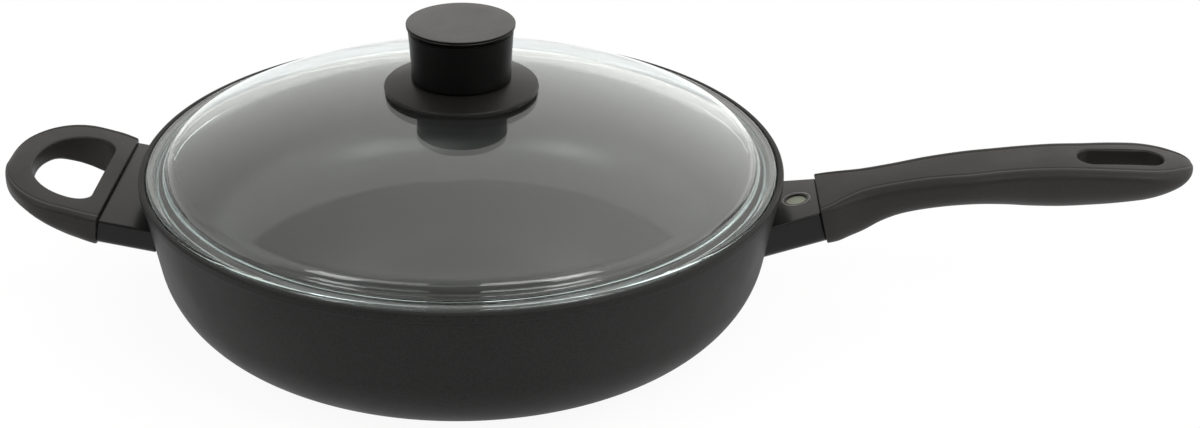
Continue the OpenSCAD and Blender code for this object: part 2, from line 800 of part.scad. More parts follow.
module knob_insert() {
    color("#b08d4a")
        translate([0, 0, grip_z])
            difference() {
                cylinder(r = insert_r, h = insert_h, $fn = small_fn);
                translate([0, 0, -cut_over])
                    cylinder(d = screw_d + 2 * fit_gap, h = insert_h + 2 * cut_over, $fn = small_fn);
            }
}

low_seal_z = dome_top_z - glass_t - seal_t;
low_seal_r = 2 * glass_hole_r;

module lower_seal() {
    color("#2a2a2a")
        rotate_extrude($fn = turn_fn)
            polygon(concat(
                [[bore_r, low_seal_z], [low_seal_r, low_seal_z]],
                [for (p = under_points(low_seal_r, glass_hole_r, arc_steps)) [p[0], p[1] - fit_gap]],
                [[bore_r, dome_under(glass_hole_r) - fit_gap]]));
}

module knob_washer() {
    color("#c4c6c8") translate([0, 0, low_seal_z - washer_t]) washer(2 * (low_seal_r - washer_t));
}

module knob_screw() {
    head_z = low_seal_z - washer_t;
    color("#b4b6b8") translate([0, 0, head_z - head_h]) screw(grip_z + 0.8 * insert_h - head_z);
}

pan_body();
induction_disc();
handle_bracket();
handle_neck();
indicator_disc();
long_handle();
handle_screw();
handle_washer();
side_bracket();
side_neck();
side_handle();
side_screws();
side_washers();
lid_glass();
upper_seal();
knob_flange();
knob_body();
knob_cap();
knob_insert();
lower_seal();
knob_washer();
knob_screw();
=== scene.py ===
"""Braising pan with a glass lid, dressed for rendering round its packed CAD frame."""

import math

import bmesh
import bpy
import numpy as np
from mathutils import Matrix, Vector
from mathutils.bvhtree import BVHTree


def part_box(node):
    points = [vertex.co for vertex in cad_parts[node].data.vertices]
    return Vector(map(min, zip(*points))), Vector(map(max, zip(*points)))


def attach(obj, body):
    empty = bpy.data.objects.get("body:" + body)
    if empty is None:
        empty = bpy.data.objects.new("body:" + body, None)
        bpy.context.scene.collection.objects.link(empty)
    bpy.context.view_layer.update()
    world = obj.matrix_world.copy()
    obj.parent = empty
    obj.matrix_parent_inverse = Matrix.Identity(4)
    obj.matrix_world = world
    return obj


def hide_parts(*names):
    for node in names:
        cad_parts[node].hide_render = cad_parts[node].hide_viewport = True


bl_info = {
    "name": "Braising Pan Dresser",
    "version": (1, 0, 0),
    "blender": (4, 5, 0),
    "location": "View3D > Sidebar > Braising Pan",
    "description": "Builds the pan, its glass lid, knob and handles with their finishes",
    "category": "Object",
}

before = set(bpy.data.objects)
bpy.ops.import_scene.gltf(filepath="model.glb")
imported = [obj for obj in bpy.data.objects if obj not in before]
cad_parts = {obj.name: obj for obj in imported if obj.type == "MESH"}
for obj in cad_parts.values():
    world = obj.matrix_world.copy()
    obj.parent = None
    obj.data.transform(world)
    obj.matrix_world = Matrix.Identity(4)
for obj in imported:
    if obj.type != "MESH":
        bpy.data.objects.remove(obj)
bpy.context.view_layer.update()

MM = 0.001
TURN_STEPS = 256
PAN_BODY, LID_BODY = "pan", "lid"


# Places taken from the packed frame, in metres

def reach(node, axis):
    """Lowest and highest coordinate of a node along one axis."""
    low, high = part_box(node)
    return low[axis], high[axis]


RIM_R = reach("pan_body", 0)[1]
PAN_H = reach("pan_body", 2)[1]
GLASS_R = reach("lid_glass", 0)[1]
SKIRT_Z = reach("lid_glass", 2)[0]
DISC_R = reach("induction_disc", 0)[1]
DISC_T = reach("induction_disc", 2)[1]
SEAM_X, TIP_X = reach("long_handle", 0)
LOOP_FAR_X, LOOP_SEAM_X = reach("side_handle", 0)
HANDLE_L = TIP_X - SEAM_X
LOOP_L = LOOP_SEAM_X - LOOP_FAR_X
FLANGE_R = reach("knob_flange", 0)[1]
FLANGE_LOW_Z, FLANGE_TOP_Z = reach("knob_flange", 2)
CAP_R = reach("knob_cap", 0)[1]
CAP_TOP_Z = reach("knob_cap", 2)[1]
GRIP_TOP_R = reach("knob_body", 0)[1]
GRIP_Z, CAP_Z = reach("knob_body", 2)
NECK_TOP_Z = reach("handle_neck", 2)[1]
SIDE_NECK_TOP_Z = reach("side_neck", 2)[1]


# Sizes and colours that a user may change

def length(name, description, default, low, high):
    """Length setting in metres."""
    return bpy.props.FloatProperty(name=name, description=description, default=default, min=low, max=high,
                                   unit="LENGTH", subtype="DISTANCE", precision=4)


def colour(name, description, default):
    """Plain linear colour setting."""
    return bpy.props.FloatVectorProperty(name=name, description=description, default=default, size=3,
                                         min=0.0, max=1.0, subtype="COLOR")


def share(name, description, default, low=0.0, high=1.0):
    """Setting that is a share or a factor."""
    return bpy.props.FloatProperty(name=name, description=description, default=default, min=low, max=high,
                                   subtype="FACTOR")


def number(name, description, default, low, high, unit="NONE"):
    """Plain number setting, with its unit where one fits."""
    return bpy.props.FloatProperty(name=name, description=description, default=default, min=low, max=high,
                                   unit=unit)


def angle(name, description, degrees, low, high):
    """Angle setting, given in degrees."""
    return bpy.props.FloatProperty(name=name, description=description, default=math.radians(degrees),
                                   min=math.radians(low), max=math.radians(high), unit="ROTATION",
                                   subtype="ANGLE")


class PanSettings(bpy.types.PropertyGroup):
    """Pan body and its coating."""

    base_r: length("Base radius", "Radius of the flat underside", 103 * MM, 0.08, 0.12)
    floor_t: length("Floor", "Thickness of the floor", 6 * MM, 0.003, 0.01)
    wall_t: length("Wall", "Thickness of the wall", 3.5 * MM, 0.002, 0.005)
    rim_round: length("Rim rounding", "Rounding of the rim's outer edge", 1.2 * MM, 0.0004, 0.002)
    lip_w: length("Lip", "Width of the rim outside the glass", 2.7 * MM, 0.001, 0.004)
    ledge_w: length("Ledge", "Width of the ledge that the lid sits on", 3.8 * MM, 0.002, 0.006)
    outside: colour("Outside", "Coating on the outside", (0.0108, 0.0105, 0.0103))
    inside: colour("Inside", "Coating on the inside", (0.013, 0.0126, 0.0118))
    speckle: share("Speckle", "Strength of the fine speckle in the coating", 0.35)


class LidSettings(bpy.types.PropertyGroup):
    """Glass lid."""

    glass_t: length("Glass", "Thickness of the dome", 4 * MM, 0.003, 0.006)
    dome_r: length("Dome radius", "Radius of the dome's outer face", 306 * MM, 0.28, 0.4)
    bead_r: length("Bead", "Radius of the rounded glass edge", 2.0 * MM, 0.001, 0.003)
    seat_w: length("Seat", "Width of the flat seat under the edge", 2.6 * MM, 0.001, 0.004)
    skirt_t: length("Skirt", "Thickness of the skirt inside the pan", 6.4 * MM, 0.005, 0.007)
    shoulder_w: length("Shoulder", "Width of the steep shoulder round the dome", 7 * MM, 0.006, 0.008)
    shoulder_foot_r: length("Shoulder foot", "Hollow rounding at the shoulder's foot", 2.8 * MM,
                            0.002, 0.0036)
    land_w: length("Land", "Width of the flat land outside the shoulder", 6.6 * MM, 0.0055, 0.007)
    tint: colour("Tint", "Colour that thick glass takes on when it is seen edgewise", (0.1, 0.88, 0.87))
    density: number("Density", "How fast the glass takes up light, per metre", 10.0, 0.0, 50.0)
    ripple: share("Ripple", "Strength of the pressed glass's faint ripples", 0.25)


class KnobSettings(bpy.types.PropertyGroup):
    """Knob on the lid."""

    grip_low_r: length("Foot radius", "Radius of the grip at the flange", 22.25 * MM, 0.015, 0.03)
    cap_t: length("Cap", "Height of the cap's edge", 3.4 * MM, 0.001, 0.005)
    flange_t: length("Flange", "Thickness of the flange at its edge", 2.7 * MM, 0.001, 0.004)
    grip_colour: colour("Grip", "Moulded resin of the grip", (0.0020, 0.0018, 0.0017))
    flange_colour: colour("Flange colour", "Moulded resin of the flange", (0.0085, 0.0080, 0.0076))
    cap_colour: colour("Cap colour", "Moulded resin of the cap's top", (0.022, 0.0208, 0.019))


class HandleSettings(bpy.types.PropertyGroup):
    """Long handle, loop handle and their necks."""

    top_edge_r: length("Edge rounding", "Rounding of the long handle's top edge", 4.2 * MM, 0.001, 0.008)
    loop_edge_r: length("Loop edge rounding", "Rounding of the loop's top edge", 2.4 * MM, 0.001, 0.005)
    opening_edge_r: length("Opening rounding", "Rounding round the slot and the finger opening", 1.0 * MM,
                           0.0003, 0.003)
    parting_step: length("Parting line", "Depth of the mould's parting line", 0.18 * MM, 0.0, 0.0005)
    groove: length("Groove", "Depth of the soft groove along the top face's edges", 0.25 * MM, 0.0, 0.001)
    resin: colour("Resin", "Moulded resin of both handles", (0.0150, 0.0137, 0.0128))
    neck_resin: colour("Neck resin", "Smoother resin of the two necks", (0.0060, 0.0057, 0.0055))


class IndicatorSettings(bpy.types.PropertyGroup):
    """Heat indicator in the long handle's neck."""

    face: colour("Face", "Colour of the cold indicator", (0.235, 0.255, 0.190))
    tick_r: length("Tick ring", "Radius of the ring of small marks", 6.2 * MM, 0.005, 0.01)
    tick_count: bpy.props.IntProperty(name="Ticks", description="Marks round the indicator", default=40,
                                      min=8, max=90)


class StageSettings(bpy.types.PropertyGroup):
    """Camera, light and floor."""

    lens: bpy.props.FloatProperty(name="Lens", description="Focal length of the camera", default=61.375,
                                  min=20.0, max=200.0, unit="CAMERA")
    camera_place: bpy.props.FloatVectorProperty(name="Camera place", description="Where the camera stands",
                                                default=(0.06942, -0.83735, 0.46739), size=3,
                                                subtype="TRANSLATION", unit="LENGTH")
    pitch: angle("Pitch", "Angle that the camera looks down", 26.625, 0.0, 90.0)
    yaw: angle("Yaw", "Angle that the camera is turned to the left", 2.436, -90.0, 90.0)
    roll: angle("Roll", "Tilt of the camera", 0.240, -10.0, 10.0)
    shift_x: number("Shift across", "Sideways shift of the picture", 0.05267, -0.5, 0.5)
    shift_y: number("Shift up", "Upward shift of the picture", -0.00525, -0.5, 0.5)
    floor: colour("Floor", "Colour of the floor", (1.0, 1.0, 1.0))
    clean_near: share("Clean near", "How far the floor near the pan is whitened over its shadow", 0.93)
    clean_from: length("Clean from", "Distance from the pan's middle where the whitening starts to grow",
                       0.12, 0.0, 2.0)
    clean_to: length("Clean to", "Distance from the pan's middle where the floor is all white",
                     0.34, 0.1, 5.0)
    tent: share("Tent", "Brightness of the white tent round the pan", 1.35, 0.0, 2.0)
    tent_left: share("Tent left", "Factor on the tent's brightness at the left", 0.62, 0.0, 2.0)
    tent_right: share("Tent right", "Factor on the tent's brightness at the right", 1.15, 0.0, 2.0)
    tent_low: share("Tent low", "How much brighter the tent is near the floor", 1.25, 1.0, 2.0)
    tent_front: share("Tent front", "Brightness of the tent's opening round the camera", 0.1)
    tent_tone: colour("Tent tone", "Slightly warm white of the tent", (1.0, 0.98, 0.955))
    tent_gap: share("Tent gap", "Brightness of the gap in the tent straight above, against the rest", 0.75)
    over: number("Bar lamps", "Power of the weaker of the two bars above the front", 1.6, 0.0, 50.0, "POWER")
    over_ratio: share("Bar ratio", "How much stronger the right one is", 2.5, 0.1, 10.0)
    over_place: bpy.props.FloatVectorProperty(name="Bar place", description="Where the right bar hangs",
                                              default=(0.62, -0.75, 1.2), size=3,
                                              subtype="TRANSLATION", unit="LENGTH")
    over_length: length("Bar length", "Length of each bar", 0.9, 0.05, 3.0)
    over_width: length("Bar width", "Width of each bar", 0.3, 0.05, 3.0)
    side: number("Front lamps", "Power of each of the two lamps in front", 4.0, 0.0, 50.0, "POWER")
    side_place: bpy.props.FloatVectorProperty(name="Front place", description="Where the right one stands",
                                              default=(1.0, -0.85, 1.2), size=3,
                                              subtype="TRANSLATION", unit="LENGTH")
    side_size: length("Front size", "Side of each lamp in front", 0.5, 0.05, 3.0)


SETTINGS = {
    "pan_settings": PanSettings,
    "lid_settings": LidSettings,
    "knob_settings": KnobSettings,
    "handle_settings": HandleSettings,
    "indicator_settings": IndicatorSettings,
    "stage_settings": StageSettings,
}


# Shader nodes

class Nodes:
    """Short way to fill a node tree."""

    def __init__(self, tree):
        self.tree = tree
        tree.nodes.clear()

    def add(self, kind, inputs=None, **attributes):
        """New node, with its attributes set and its inputs linked or given a value."""
        node = self.tree.nodes.new(kind)
        for key, value in attributes.items():
            setattr(node, key, value)
        for key, value in (inputs or {}).items():
            if isinstance(value, bpy.types.NodeSocket):
                self.tree.links.new(value, node.inputs[key])
            else:
                node.inputs[key].default_value = value
        return node


def shader_group(name, inputs, outputs):
    """Empty shader group with named float or colour sockets, its nodes and its two ends."""
    tree = bpy.data.node_groups.new(name, "ShaderNodeTree")
    nodes = Nodes(tree)
    for label, default in inputs.items():
        socket = tree.interface.new_socket(name=label, in_out="INPUT", socket_type="NodeSocketFloat")
        socket.default_value = default
    for label, kind in outputs.items():
        tree.interface.new_socket(name=label, in_out="OUTPUT", socket_type=kind)
    return tree, nodes, nodes.add("NodeGroupInput"), nodes.add("NodeGroupOutput")


def grain_group():
    """Fine moulded or sprayed grain: a height and a mask, in object coordinates."""
    tree, nodes, ins, outs = shader_group(
        "Fine grain", {"Scale": 1500.0, "Contrast": 2.0},
        {"Height": "NodeSocketFloat", "Mask": "NodeSocketFloat"})
    place = nodes.add("ShaderNodeTexCoord").outputs["Object"]
    fine = nodes.add("ShaderNodeTexNoise", {"Vector": place, "Scale": ins.outputs["Scale"], "Detail": 3.0,
                                            "Roughness": 0.6})
    centred = nodes.add("ShaderNodeMath", {0: fine.outputs["Fac"], 1: 0.5}, operation="SUBTRACT")
    spread = nodes.add("ShaderNodeMath", {0: centred.outputs[0], 1: ins.outputs["Contrast"], 2: 0.5},
                       operation="MULTIPLY_ADD", use_clamp=True)
    tree.links.new(fine.outputs["Fac"], outs.inputs["Height"])
    tree.links.new(spread.outputs[0], outs.inputs["Mask"])
    return tree


def handling_group():
    """Wide soft unevenness that use and cleaning leave: a mask from 0 to 1, in object coordinates."""
    tree, nodes, ins, outs = shader_group("Handling", {"Scale": 18.0}, {"Mask": "NodeSocketFloat"})
    place = nodes.add("ShaderNodeTexCoord").outputs["Object"]
    wide = nodes.add("ShaderNodeTexNoise", {"Vector": place, "Scale": ins.outputs["Scale"], "Detail": 4.0,
                                            "Roughness": 0.55, "Distortion": 0.3})
    mask = nodes.add("ShaderNodeMapRange", {"Value": wide.outputs["Fac"], "From Min": 0.3, "From Max": 0.7},
                     interpolation_type="SMOOTHSTEP")
    tree.links.new(mask.outputs["Result"], outs.inputs["Mask"])
    return tree


GROUP_MAKERS = {"Fine grain": grain_group, "Handling": handling_group}


def use_group(nodes, name, **values):
    """Shared group placed in a material with its own values."""
    tree = bpy.data.node_groups.get(name) or GROUP_MAKERS[name]()
    return nodes.add("ShaderNodeGroup", {k.capitalize(): v for k, v in values.items()}, node_tree=tree)


def scaled(rgb, factor):
    """Colour made lighter or darker, as four numbers."""
    return (*(min(1.0, c * factor) for c in rgb), 1.0)


def material(name):
    """New node material: the material, its nodes and its output."""
    mat = bpy.data.materials.new(name)
    mat.use_nodes = True
    nodes = Nodes(mat.node_tree)
    return mat, nodes, nodes.add("ShaderNodeOutputMaterial")


def grained_material(name, base, rough, spread=0.12, grain=1500.0, depth=0.00002, contrast=2.0,
                     mottling=0.12, specular=0.5, metallic=0.0):
    """Opaque finish with grain in its colour and relief, and uneven roughness."""
    mat, nodes, out = material(name)
    fine = use_group(nodes, "Fine grain", scale=grain, contrast=contrast)
    wide = use_group(nodes, "Handling", scale=22.0)
    tone = nodes.add("ShaderNodeMix", {"Factor": fine.outputs["Mask"]}, data_type="RGBA")
    tone.inputs["A"].default_value = scaled(base, 1 - mottling)
    tone.inputs["B"].default_value = scaled(base, 1 + mottling)
    roughness = nodes.add("ShaderNodeMath", {0: wide.outputs["Mask"], 1: spread, 2: rough - spread / 2},
                          operation="MULTIPLY_ADD")
    bump = nodes.add("ShaderNodeBump", {"Height": fine.outputs["Height"], "Strength": 1.0,
                                        "Distance": depth})
    shader = nodes.add("ShaderNodeBsdfPrincipled", {
        "Base Color": tone.outputs["Result"], "Roughness": roughness.outputs[0], "Metallic": metallic,
        "Specular IOR Level": specular, "Normal": bump.outputs["Normal"]})
    nodes.tree.links.new(shader.outputs["BSDF"], out.inputs["Surface"])
    return mat


RIPPLE_DEPTH = 0.12 * MM
RING_DEPTH, RING_BAND_W, RING_FADE = 0.012 * MM, 16 * MM, 4 * MM


def glass_material(name, tint, density, ripple, rings_from):
    """Clear pressed glass with faint ripples and, near its edge, turned rings. Lamps shine through it."""
    mat, nodes, out = material(name)
    place = nodes.add("ShaderNodeTexCoord").outputs["Object"]
    wave = nodes.add("ShaderNodeTexNoise", {"Vector": place, "Scale": 55.0, "Detail": 1.5, "Roughness": 0.5})
    bump = nodes.add("ShaderNodeBump", {"Height": wave.outputs["Fac"], "Strength": ripple,
                                        "Distance": RIPPLE_DEPTH})
    parts = nodes.add("ShaderNodeSeparateXYZ", {0: place})
    flat = nodes.add("ShaderNodeCombineXYZ", {"X": parts.outputs["X"], "Y": parts.outputs["Y"]})
    away = nodes.add("ShaderNodeVectorMath", {0: flat.outputs[0]}, operation="LENGTH").outputs["Value"]
    rings = nodes.add("ShaderNodeTexNoise", {"W": away, "Scale": 900.0, "Detail": 1.0},
                      noise_dimensions="1D")
    near = nodes.add("ShaderNodeMapRange", {"Value": away, "From Min": rings_from,
                                            "From Max": rings_from + RING_FADE},
                     interpolation_type="SMOOTHSTEP")
    height = nodes.add("ShaderNodeMath", {0: rings.outputs["Fac"], 1: near.outputs["Result"]},
                       operation="MULTIPLY")
    bump = nodes.add("ShaderNodeBump", {"Height": height.outputs[0], "Strength": 1.0, "Distance": RING_DEPTH,
                                        "Normal": bump.outputs["Normal"]})
    shader = nodes.add("ShaderNodeBsdfPrincipled", {
        "Base Color": (1.0, 0.995, 0.985, 1.0), "Roughness": 0.0, "IOR": 1.5, "Transmission Weight": 1.0,
        "Normal": bump.outputs["Normal"]})
    clear = nodes.add("ShaderNodeBsdfTransparent", {"Color": (0.92, 0.92, 0.92, 1.0)})
    path = nodes.add("ShaderNodeLightPath")
    mix = nodes.add("ShaderNodeMixShader", {0: path.outputs["Is Shadow Ray"], 1: shader.outputs[0],
                                            2: clear.outputs[0]})
    depth = nodes.add("ShaderNodeVolumeAbsorption", {"Color": (*tint, 1.0), "Density": density})
    nodes.tree.links.new(mix.outputs[0], out.inputs["Surface"])
    nodes.tree.links.new(depth.outputs[0], out.inputs["Volume"])
    return mat


# Names that differ from the frame's slots, because the loaded frame holds a plain material for each slot
MATERIAL_MAKERS = {
    "outside_coating": lambda name, s: grained_material(
        name, s.pan_settings.outside, 0.5, spread=0.08, grain=1100.0, depth=0.00005, contrast=2.6,
        mottling=s.pan_settings.speckle, specular=0.14),
    "inside_coating": lambda name, s: grained_material(
        name, s.pan_settings.inside, 0.31, spread=0.05, grain=1600.0, depth=0.00001, mottling=0.15),
    "clear_glass": lambda name, s: glass_material(
        name, s.lid_settings.tint, s.lid_settings.density, s.lid_settings.ripple, GLASS_R - RING_BAND_W),
    "grip_resin": lambda name, s: grained_material(
        name, s.knob_settings.grip_colour, 0.31, spread=0.06, grain=2200.0, depth=0.00001, specular=0.07),
    "flange_resin": lambda name, s: grained_material(
        name, s.knob_settings.flange_colour, 0.4, spread=0.08, grain=1200.0, depth=0.00005, mottling=0.2,
        specular=0.2),
    "leathery_resin": lambda name, s: grained_material(
        name, s.knob_settings.cap_colour, 0.4, spread=0.1, grain=900.0, depth=0.0001, contrast=2.6,
        mottling=0.22),
    "matt_resin": lambda name, s: grained_material(
        name, s.handle_settings.resin, 0.5, spread=0.1, grain=1200.0, depth=0.00006, mottling=0.2,
        specular=0.25),
    "smooth_resin": lambda name, s: grained_material(
        name, s.handle_settings.neck_resin, 0.24, spread=0.06, grain=2200.0, depth=0.000006, specular=0.22),
    "indicator_face": lambda name, s: grained_material(
        name, s.indicator_settings.face, 0.55, spread=0.1, grain=2600.0, depth=0.00001, mottling=0.18),
    "tick_paint": lambda name, s: grained_material(name, (0.55, 0.55, 0.53), 0.5, mottling=0.1),
    "brushed_steel": lambda name, s: grained_material(
        name, (0.42, 0.42, 0.42), 0.34, grain=900.0, depth=0.000008, metallic=1.0),
    "plain_steel": lambda name, s: grained_material(
        name, (0.56, 0.56, 0.55), 0.28, spread=0.1, grain=2500.0, depth=0.000005, metallic=1.0),
    "bare_aluminium": lambda name, s: grained_material(
        name, (0.62, 0.62, 0.63), 0.4, spread=0.15, grain=1100.0, depth=0.00001, metallic=1.0),
    "turned_brass": lambda name, s: grained_material(
        name, (0.62, 0.44, 0.18), 0.3, spread=0.1, grain=2000.0, depth=0.000005, metallic=1.0),
    "seal_silicone": lambda name, s: grained_material(
        name, (0.02, 0.02, 0.02), 0.6, spread=0.1, grain=2400.0, depth=0.00001),
}


def finish(name):
    """Material by name, made on first use."""
    return bpy.data.materials.get(name) or MATERIAL_MAKERS[name](name, bpy.context.scene)


# Meshes

def smooth_mesh(mesh, sharp_angle=32.0):
    """Merges doubles, turns faces outwards and smooths all but the sharp edges."""
    work = bmesh.new()
    work.from_mesh(mesh)
    bmesh.ops.remove_doubles(work, verts=work.verts, dist=1e-6)
    bmesh.ops.dissolve_degenerate(work, edges=work.edges, dist=1e-7)
    bmesh.ops.recalc_face_normals(work, faces=work.faces)
    work.to_mesh(mesh)
    work.free()
    mesh.polygons.foreach_set("use_smooth", [True] * len(mesh.polygons))
    mesh.set_sharp_from_angle(angle=math.radians(sharp_angle))
    mesh.update()
    return mesh


def new_object(name, mesh, *finishes):
    """Object at the origin that holds the mesh, with its materials by name."""
    obj = bpy.data.objects.new(name, mesh)
    bpy.context.scene.collection.objects.link(obj)
    if finishes:
        mesh.materials.clear()
        for key in finishes:
            mesh.materials.append(finish(key))
    return obj


def settle(obj, body, slot, *nodes):
    """Puts a finished piece on its body in place of CAD nodes; the slot argument is not used."""
    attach(obj, body)
    if nodes:
        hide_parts(*nodes)


def loft_mesh(name, rings):
    """Mesh skinned over rings of equal count, with both ends closed."""
    count = len(rings[0])
    points = [tuple(p) for ring in rings for p in ring]
    faces = [tuple(reversed(range(count))), tuple(range(len(points) - count, len(points)))]
    for i in range(len(rings) - 1):
        for j in range(count):
            a, b = i * count + j, i * count + (j + 1) % count
            faces.append((a, b, b + count, a + count))
    mesh = bpy.data.meshes.new(name)
    mesh.from_pydata(points, [], faces)
    return mesh


def subtract(obj, cutter_mesh, sharp_angle=32.0):
    """Cuts a closed mesh out of an object and cleans the result."""
    tool = bpy.data.objects.new("cutter", cutter_mesh)
    bpy.context.scene.collection.objects.link(tool)
    cut = obj.modifiers.new("cut", "BOOLEAN")
    cut.operation, cut.solver, cut.object = "DIFFERENCE", "EXACT", tool
    bpy.context.view_layer.update()
    made = bpy.data.meshes.new_from_object(obj.evaluated_get(bpy.context.evaluated_depsgraph_get()))
    obj.modifiers.remove(cut)
    obj.data = made
    bpy.data.objects.remove(tool)
    smooth_mesh(obj.data, sharp_angle)


def cad_copy(node, name, finish_name, sharp_angle=30.0):
    """Merged and smoothed copy of a CAD node's mesh as a piece of its own."""
    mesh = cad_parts[node].data.copy()
    for layer in list(mesh.attributes):
        if layer.name in ("custom_normal", "sharp_edge"):
            mesh.attributes.remove(layer)
    obj = new_object(name, mesh, finish_name)
    smooth_mesh(mesh, sharp_angle)
    mesh.polygons.foreach_set("material_index", [0] * len(mesh.polygons))
    return obj


def arc(cx, cz, r, start, end, steps=8):
    """Points on a circle's arc, angles in degrees."""
    turns = np.radians(np.linspace(start, end, steps + 1))
    return [(cx + r * math.cos(a), cz + r * math.sin(a)) for a in turns]


# Geometry Nodes: round pieces turned from an outline, and rings of copies

def geometry_tree(name, inputs):
    """Empty geometry tree with named inputs, its nodes and its two ends."""
    tree = bpy.data.node_groups.new(name, "GeometryNodeTree")
    nodes = Nodes(tree)
    tree.interface.new_socket(name="Geometry", in_out="INPUT", socket_type="NodeSocketGeometry")
    for label, kind in inputs.items():
        tree.interface.new_socket(name=label, in_out="INPUT", socket_type=kind)
    tree.interface.new_socket(name="Geometry", in_out="OUTPUT", socket_type="NodeSocketGeometry")
    return tree, nodes, nodes.add("NodeGroupInput"), nodes.add("NodeGroupOutput")


def close_tree(nodes, ins, outs, geometry):
    """Realize Instances and Set Material at the end of a tree."""
    real = nodes.add("GeometryNodeRealizeInstances", {"Geometry": geometry})
    dressed = nodes.add("GeometryNodeSetMaterial", {"Geometry": real.outputs[0],
                                                    "Material": ins.outputs["Material"]})
    nodes.tree.links.new(dressed.outputs[0], outs.inputs["Geometry"])


def turning_tree():
    """Turns an outline, given as points in x and z, round the Z axis."""
    tree, nodes, ins, outs = geometry_tree("Turned piece", {
        "Points": "NodeSocketInt", "Steps": "NodeSocketInt", "Material": "NodeSocketMaterial"})
    around = nodes.add("ShaderNodeMath", {0: ins.outputs["Steps"], 1: 1.0}, operation="ADD").outputs[0]
    grid = nodes.add("GeometryNodeMeshGrid", {"Vertices X": ins.outputs["Points"], "Vertices Y": around})
    index = nodes.add("GeometryNodeInputIndex").outputs[0]
    along = nodes.add("ShaderNodeMath", {0: index, 1: around}, operation="DIVIDE").outputs[0]
    along = nodes.add("ShaderNodeMath", {0: along}, operation="FLOOR").outputs[0]
    step = nodes.add("ShaderNodeMath", {0: index, 1: around}, operation="MODULO").outputs[0]
    turn = nodes.add("ShaderNodeMath", {0: step, 1: ins.outputs["Steps"]}, operation="DIVIDE").outputs[0]
    turn = nodes.add("ShaderNodeMath", {0: turn, 1: 2 * math.pi}, operation="MULTIPLY").outputs[0]
    place = nodes.add("GeometryNodeInputPosition").outputs[0]
    point = nodes.add("GeometryNodeSampleIndex", {"Geometry": ins.outputs["Geometry"], "Index": along},
                      data_type="FLOAT_VECTOR", domain="POINT")
    nodes.tree.links.new(place, point.inputs["Value"])
    swung = nodes.add("ShaderNodeVectorRotate", {"Vector": point.outputs["Value"], "Angle": turn},
                      rotation_type="Z_AXIS")
    placed = nodes.add("GeometryNodeSetPosition", {"Geometry": grid.outputs["Mesh"],
                                                   "Position": swung.outputs[0]})
    close_tree(nodes, ins, outs, placed.outputs[0])
    return tree


def copies_tree():
    """Copies of one piece, evenly round the Z axis and turned with it."""
    tree, nodes, ins, outs = geometry_tree("Ring of copies", {
        "Count": "NodeSocketInt", "Radius": "NodeSocketFloat", "Turn": "NodeSocketFloat",
        "Copy": "NodeSocketObject", "Material": "NodeSocketMaterial"})
    line = nodes.add("GeometryNodePoints", {"Count": ins.outputs["Count"]})
    index = nodes.add("GeometryNodeInputIndex").outputs[0]
    part = nodes.add("ShaderNodeMath", {0: index, 1: ins.outputs["Turn"]}, operation="ADD").outputs[0]
    part = nodes.add("ShaderNodeMath", {0: part, 1: ins.outputs["Count"]}, operation="DIVIDE").outputs[0]
    swing = nodes.add("ShaderNodeMath", {0: part, 1: 2 * math.pi}, operation="MULTIPLY").outputs[0]
    out_x = nodes.add("ShaderNodeCombineXYZ", {"X": ins.outputs["Radius"]}).outputs[0]
    place = nodes.add("ShaderNodeVectorRotate", {"Vector": out_x, "Angle": swing}, rotation_type="Z_AXIS")
    spread = nodes.add("GeometryNodeSetPosition", {"Geometry": line.outputs[0],
                                                   "Position": place.outputs[0]})
    turn = nodes.add("ShaderNodeCombineXYZ", {"Z": swing}).outputs[0]
    copy = nodes.add("GeometryNodeObjectInfo", {"Object": ins.outputs["Copy"]}, transform_space="ORIGINAL")
    placed = nodes.add("GeometryNodeInstanceOnPoints", {
        "Points": spread.outputs[0], "Instance": copy.outputs["Geometry"], "Rotation": turn})
    close_tree(nodes, ins, outs, placed.outputs[0])
    return tree


TREE_MAKERS = {"Turned piece": turning_tree, "Ring of copies": copies_tree}


def grow(name, tree_name, source_mesh, values):
    """Plain mesh that a tree makes, with the tree's inputs set by name."""
    tree = bpy.data.node_groups.get(tree_name) or TREE_MAKERS[tree_name]()
    host = bpy.data.objects.new(name + "_host", source_mesh)
    modifier = host.modifiers.new(tree_name, "NODES")
    modifier.node_group = tree
    for item in tree.interface.items_tree:
        if item.in_out == "INPUT" and item.name in values:
            modifier[item.identifier] = values[item.name]
    bpy.context.scene.collection.objects.link(host)
    bpy.context.view_layer.update()
    mesh = bpy.data.meshes.new_from_object(host.evaluated_get(bpy.context.evaluated_depsgraph_get()))
    mesh.name = name
    mesh.materials.clear()
    mesh.materials.append(values["Material"])
    mesh.polygons.foreach_set("material_index", [0] * len(mesh.polygons))
    bpy.data.objects.remove(host)
    return mesh


def turned(name, outline, finish_name, closed=False, sharp_angle=32.0):
    """Round piece from an outline of (radius, height) points that runs once round its section."""
    points = [(r, 0.0, z) for r, z in outline]
    if closed:
        points.append(points[0])
    source = bpy.data.meshes.new(name + "_outline")
    source.from_pydata(points, [], [])
    mesh = grow(name, "Turned piece", source, {"Points": len(points), "Steps": TURN_STEPS,
                                               "Material": finish(finish_name)})
    smooth_mesh(mesh, sharp_angle)
    if not mesh.polygons:
        raise RuntimeError(name + " came out empty")
    return new_object(name, mesh)


def ring_of_copies(name, copy_mesh, finish_name, count, radius, turn=0.0):
    """Mesh of copies round the Z axis."""
    copy = bpy.data.objects.new(name + "_copy", copy_mesh)
    bpy.context.scene.collection.objects.link(copy)
    mesh = grow(name, "Ring of copies", bpy.data.meshes.new(name + "_empty"),
                {"Count": count, "Radius": radius, "Turn": turn, "Copy": copy,
                 "Material": finish(finish_name)})
    bpy.data.objects.remove(copy)
    return mesh


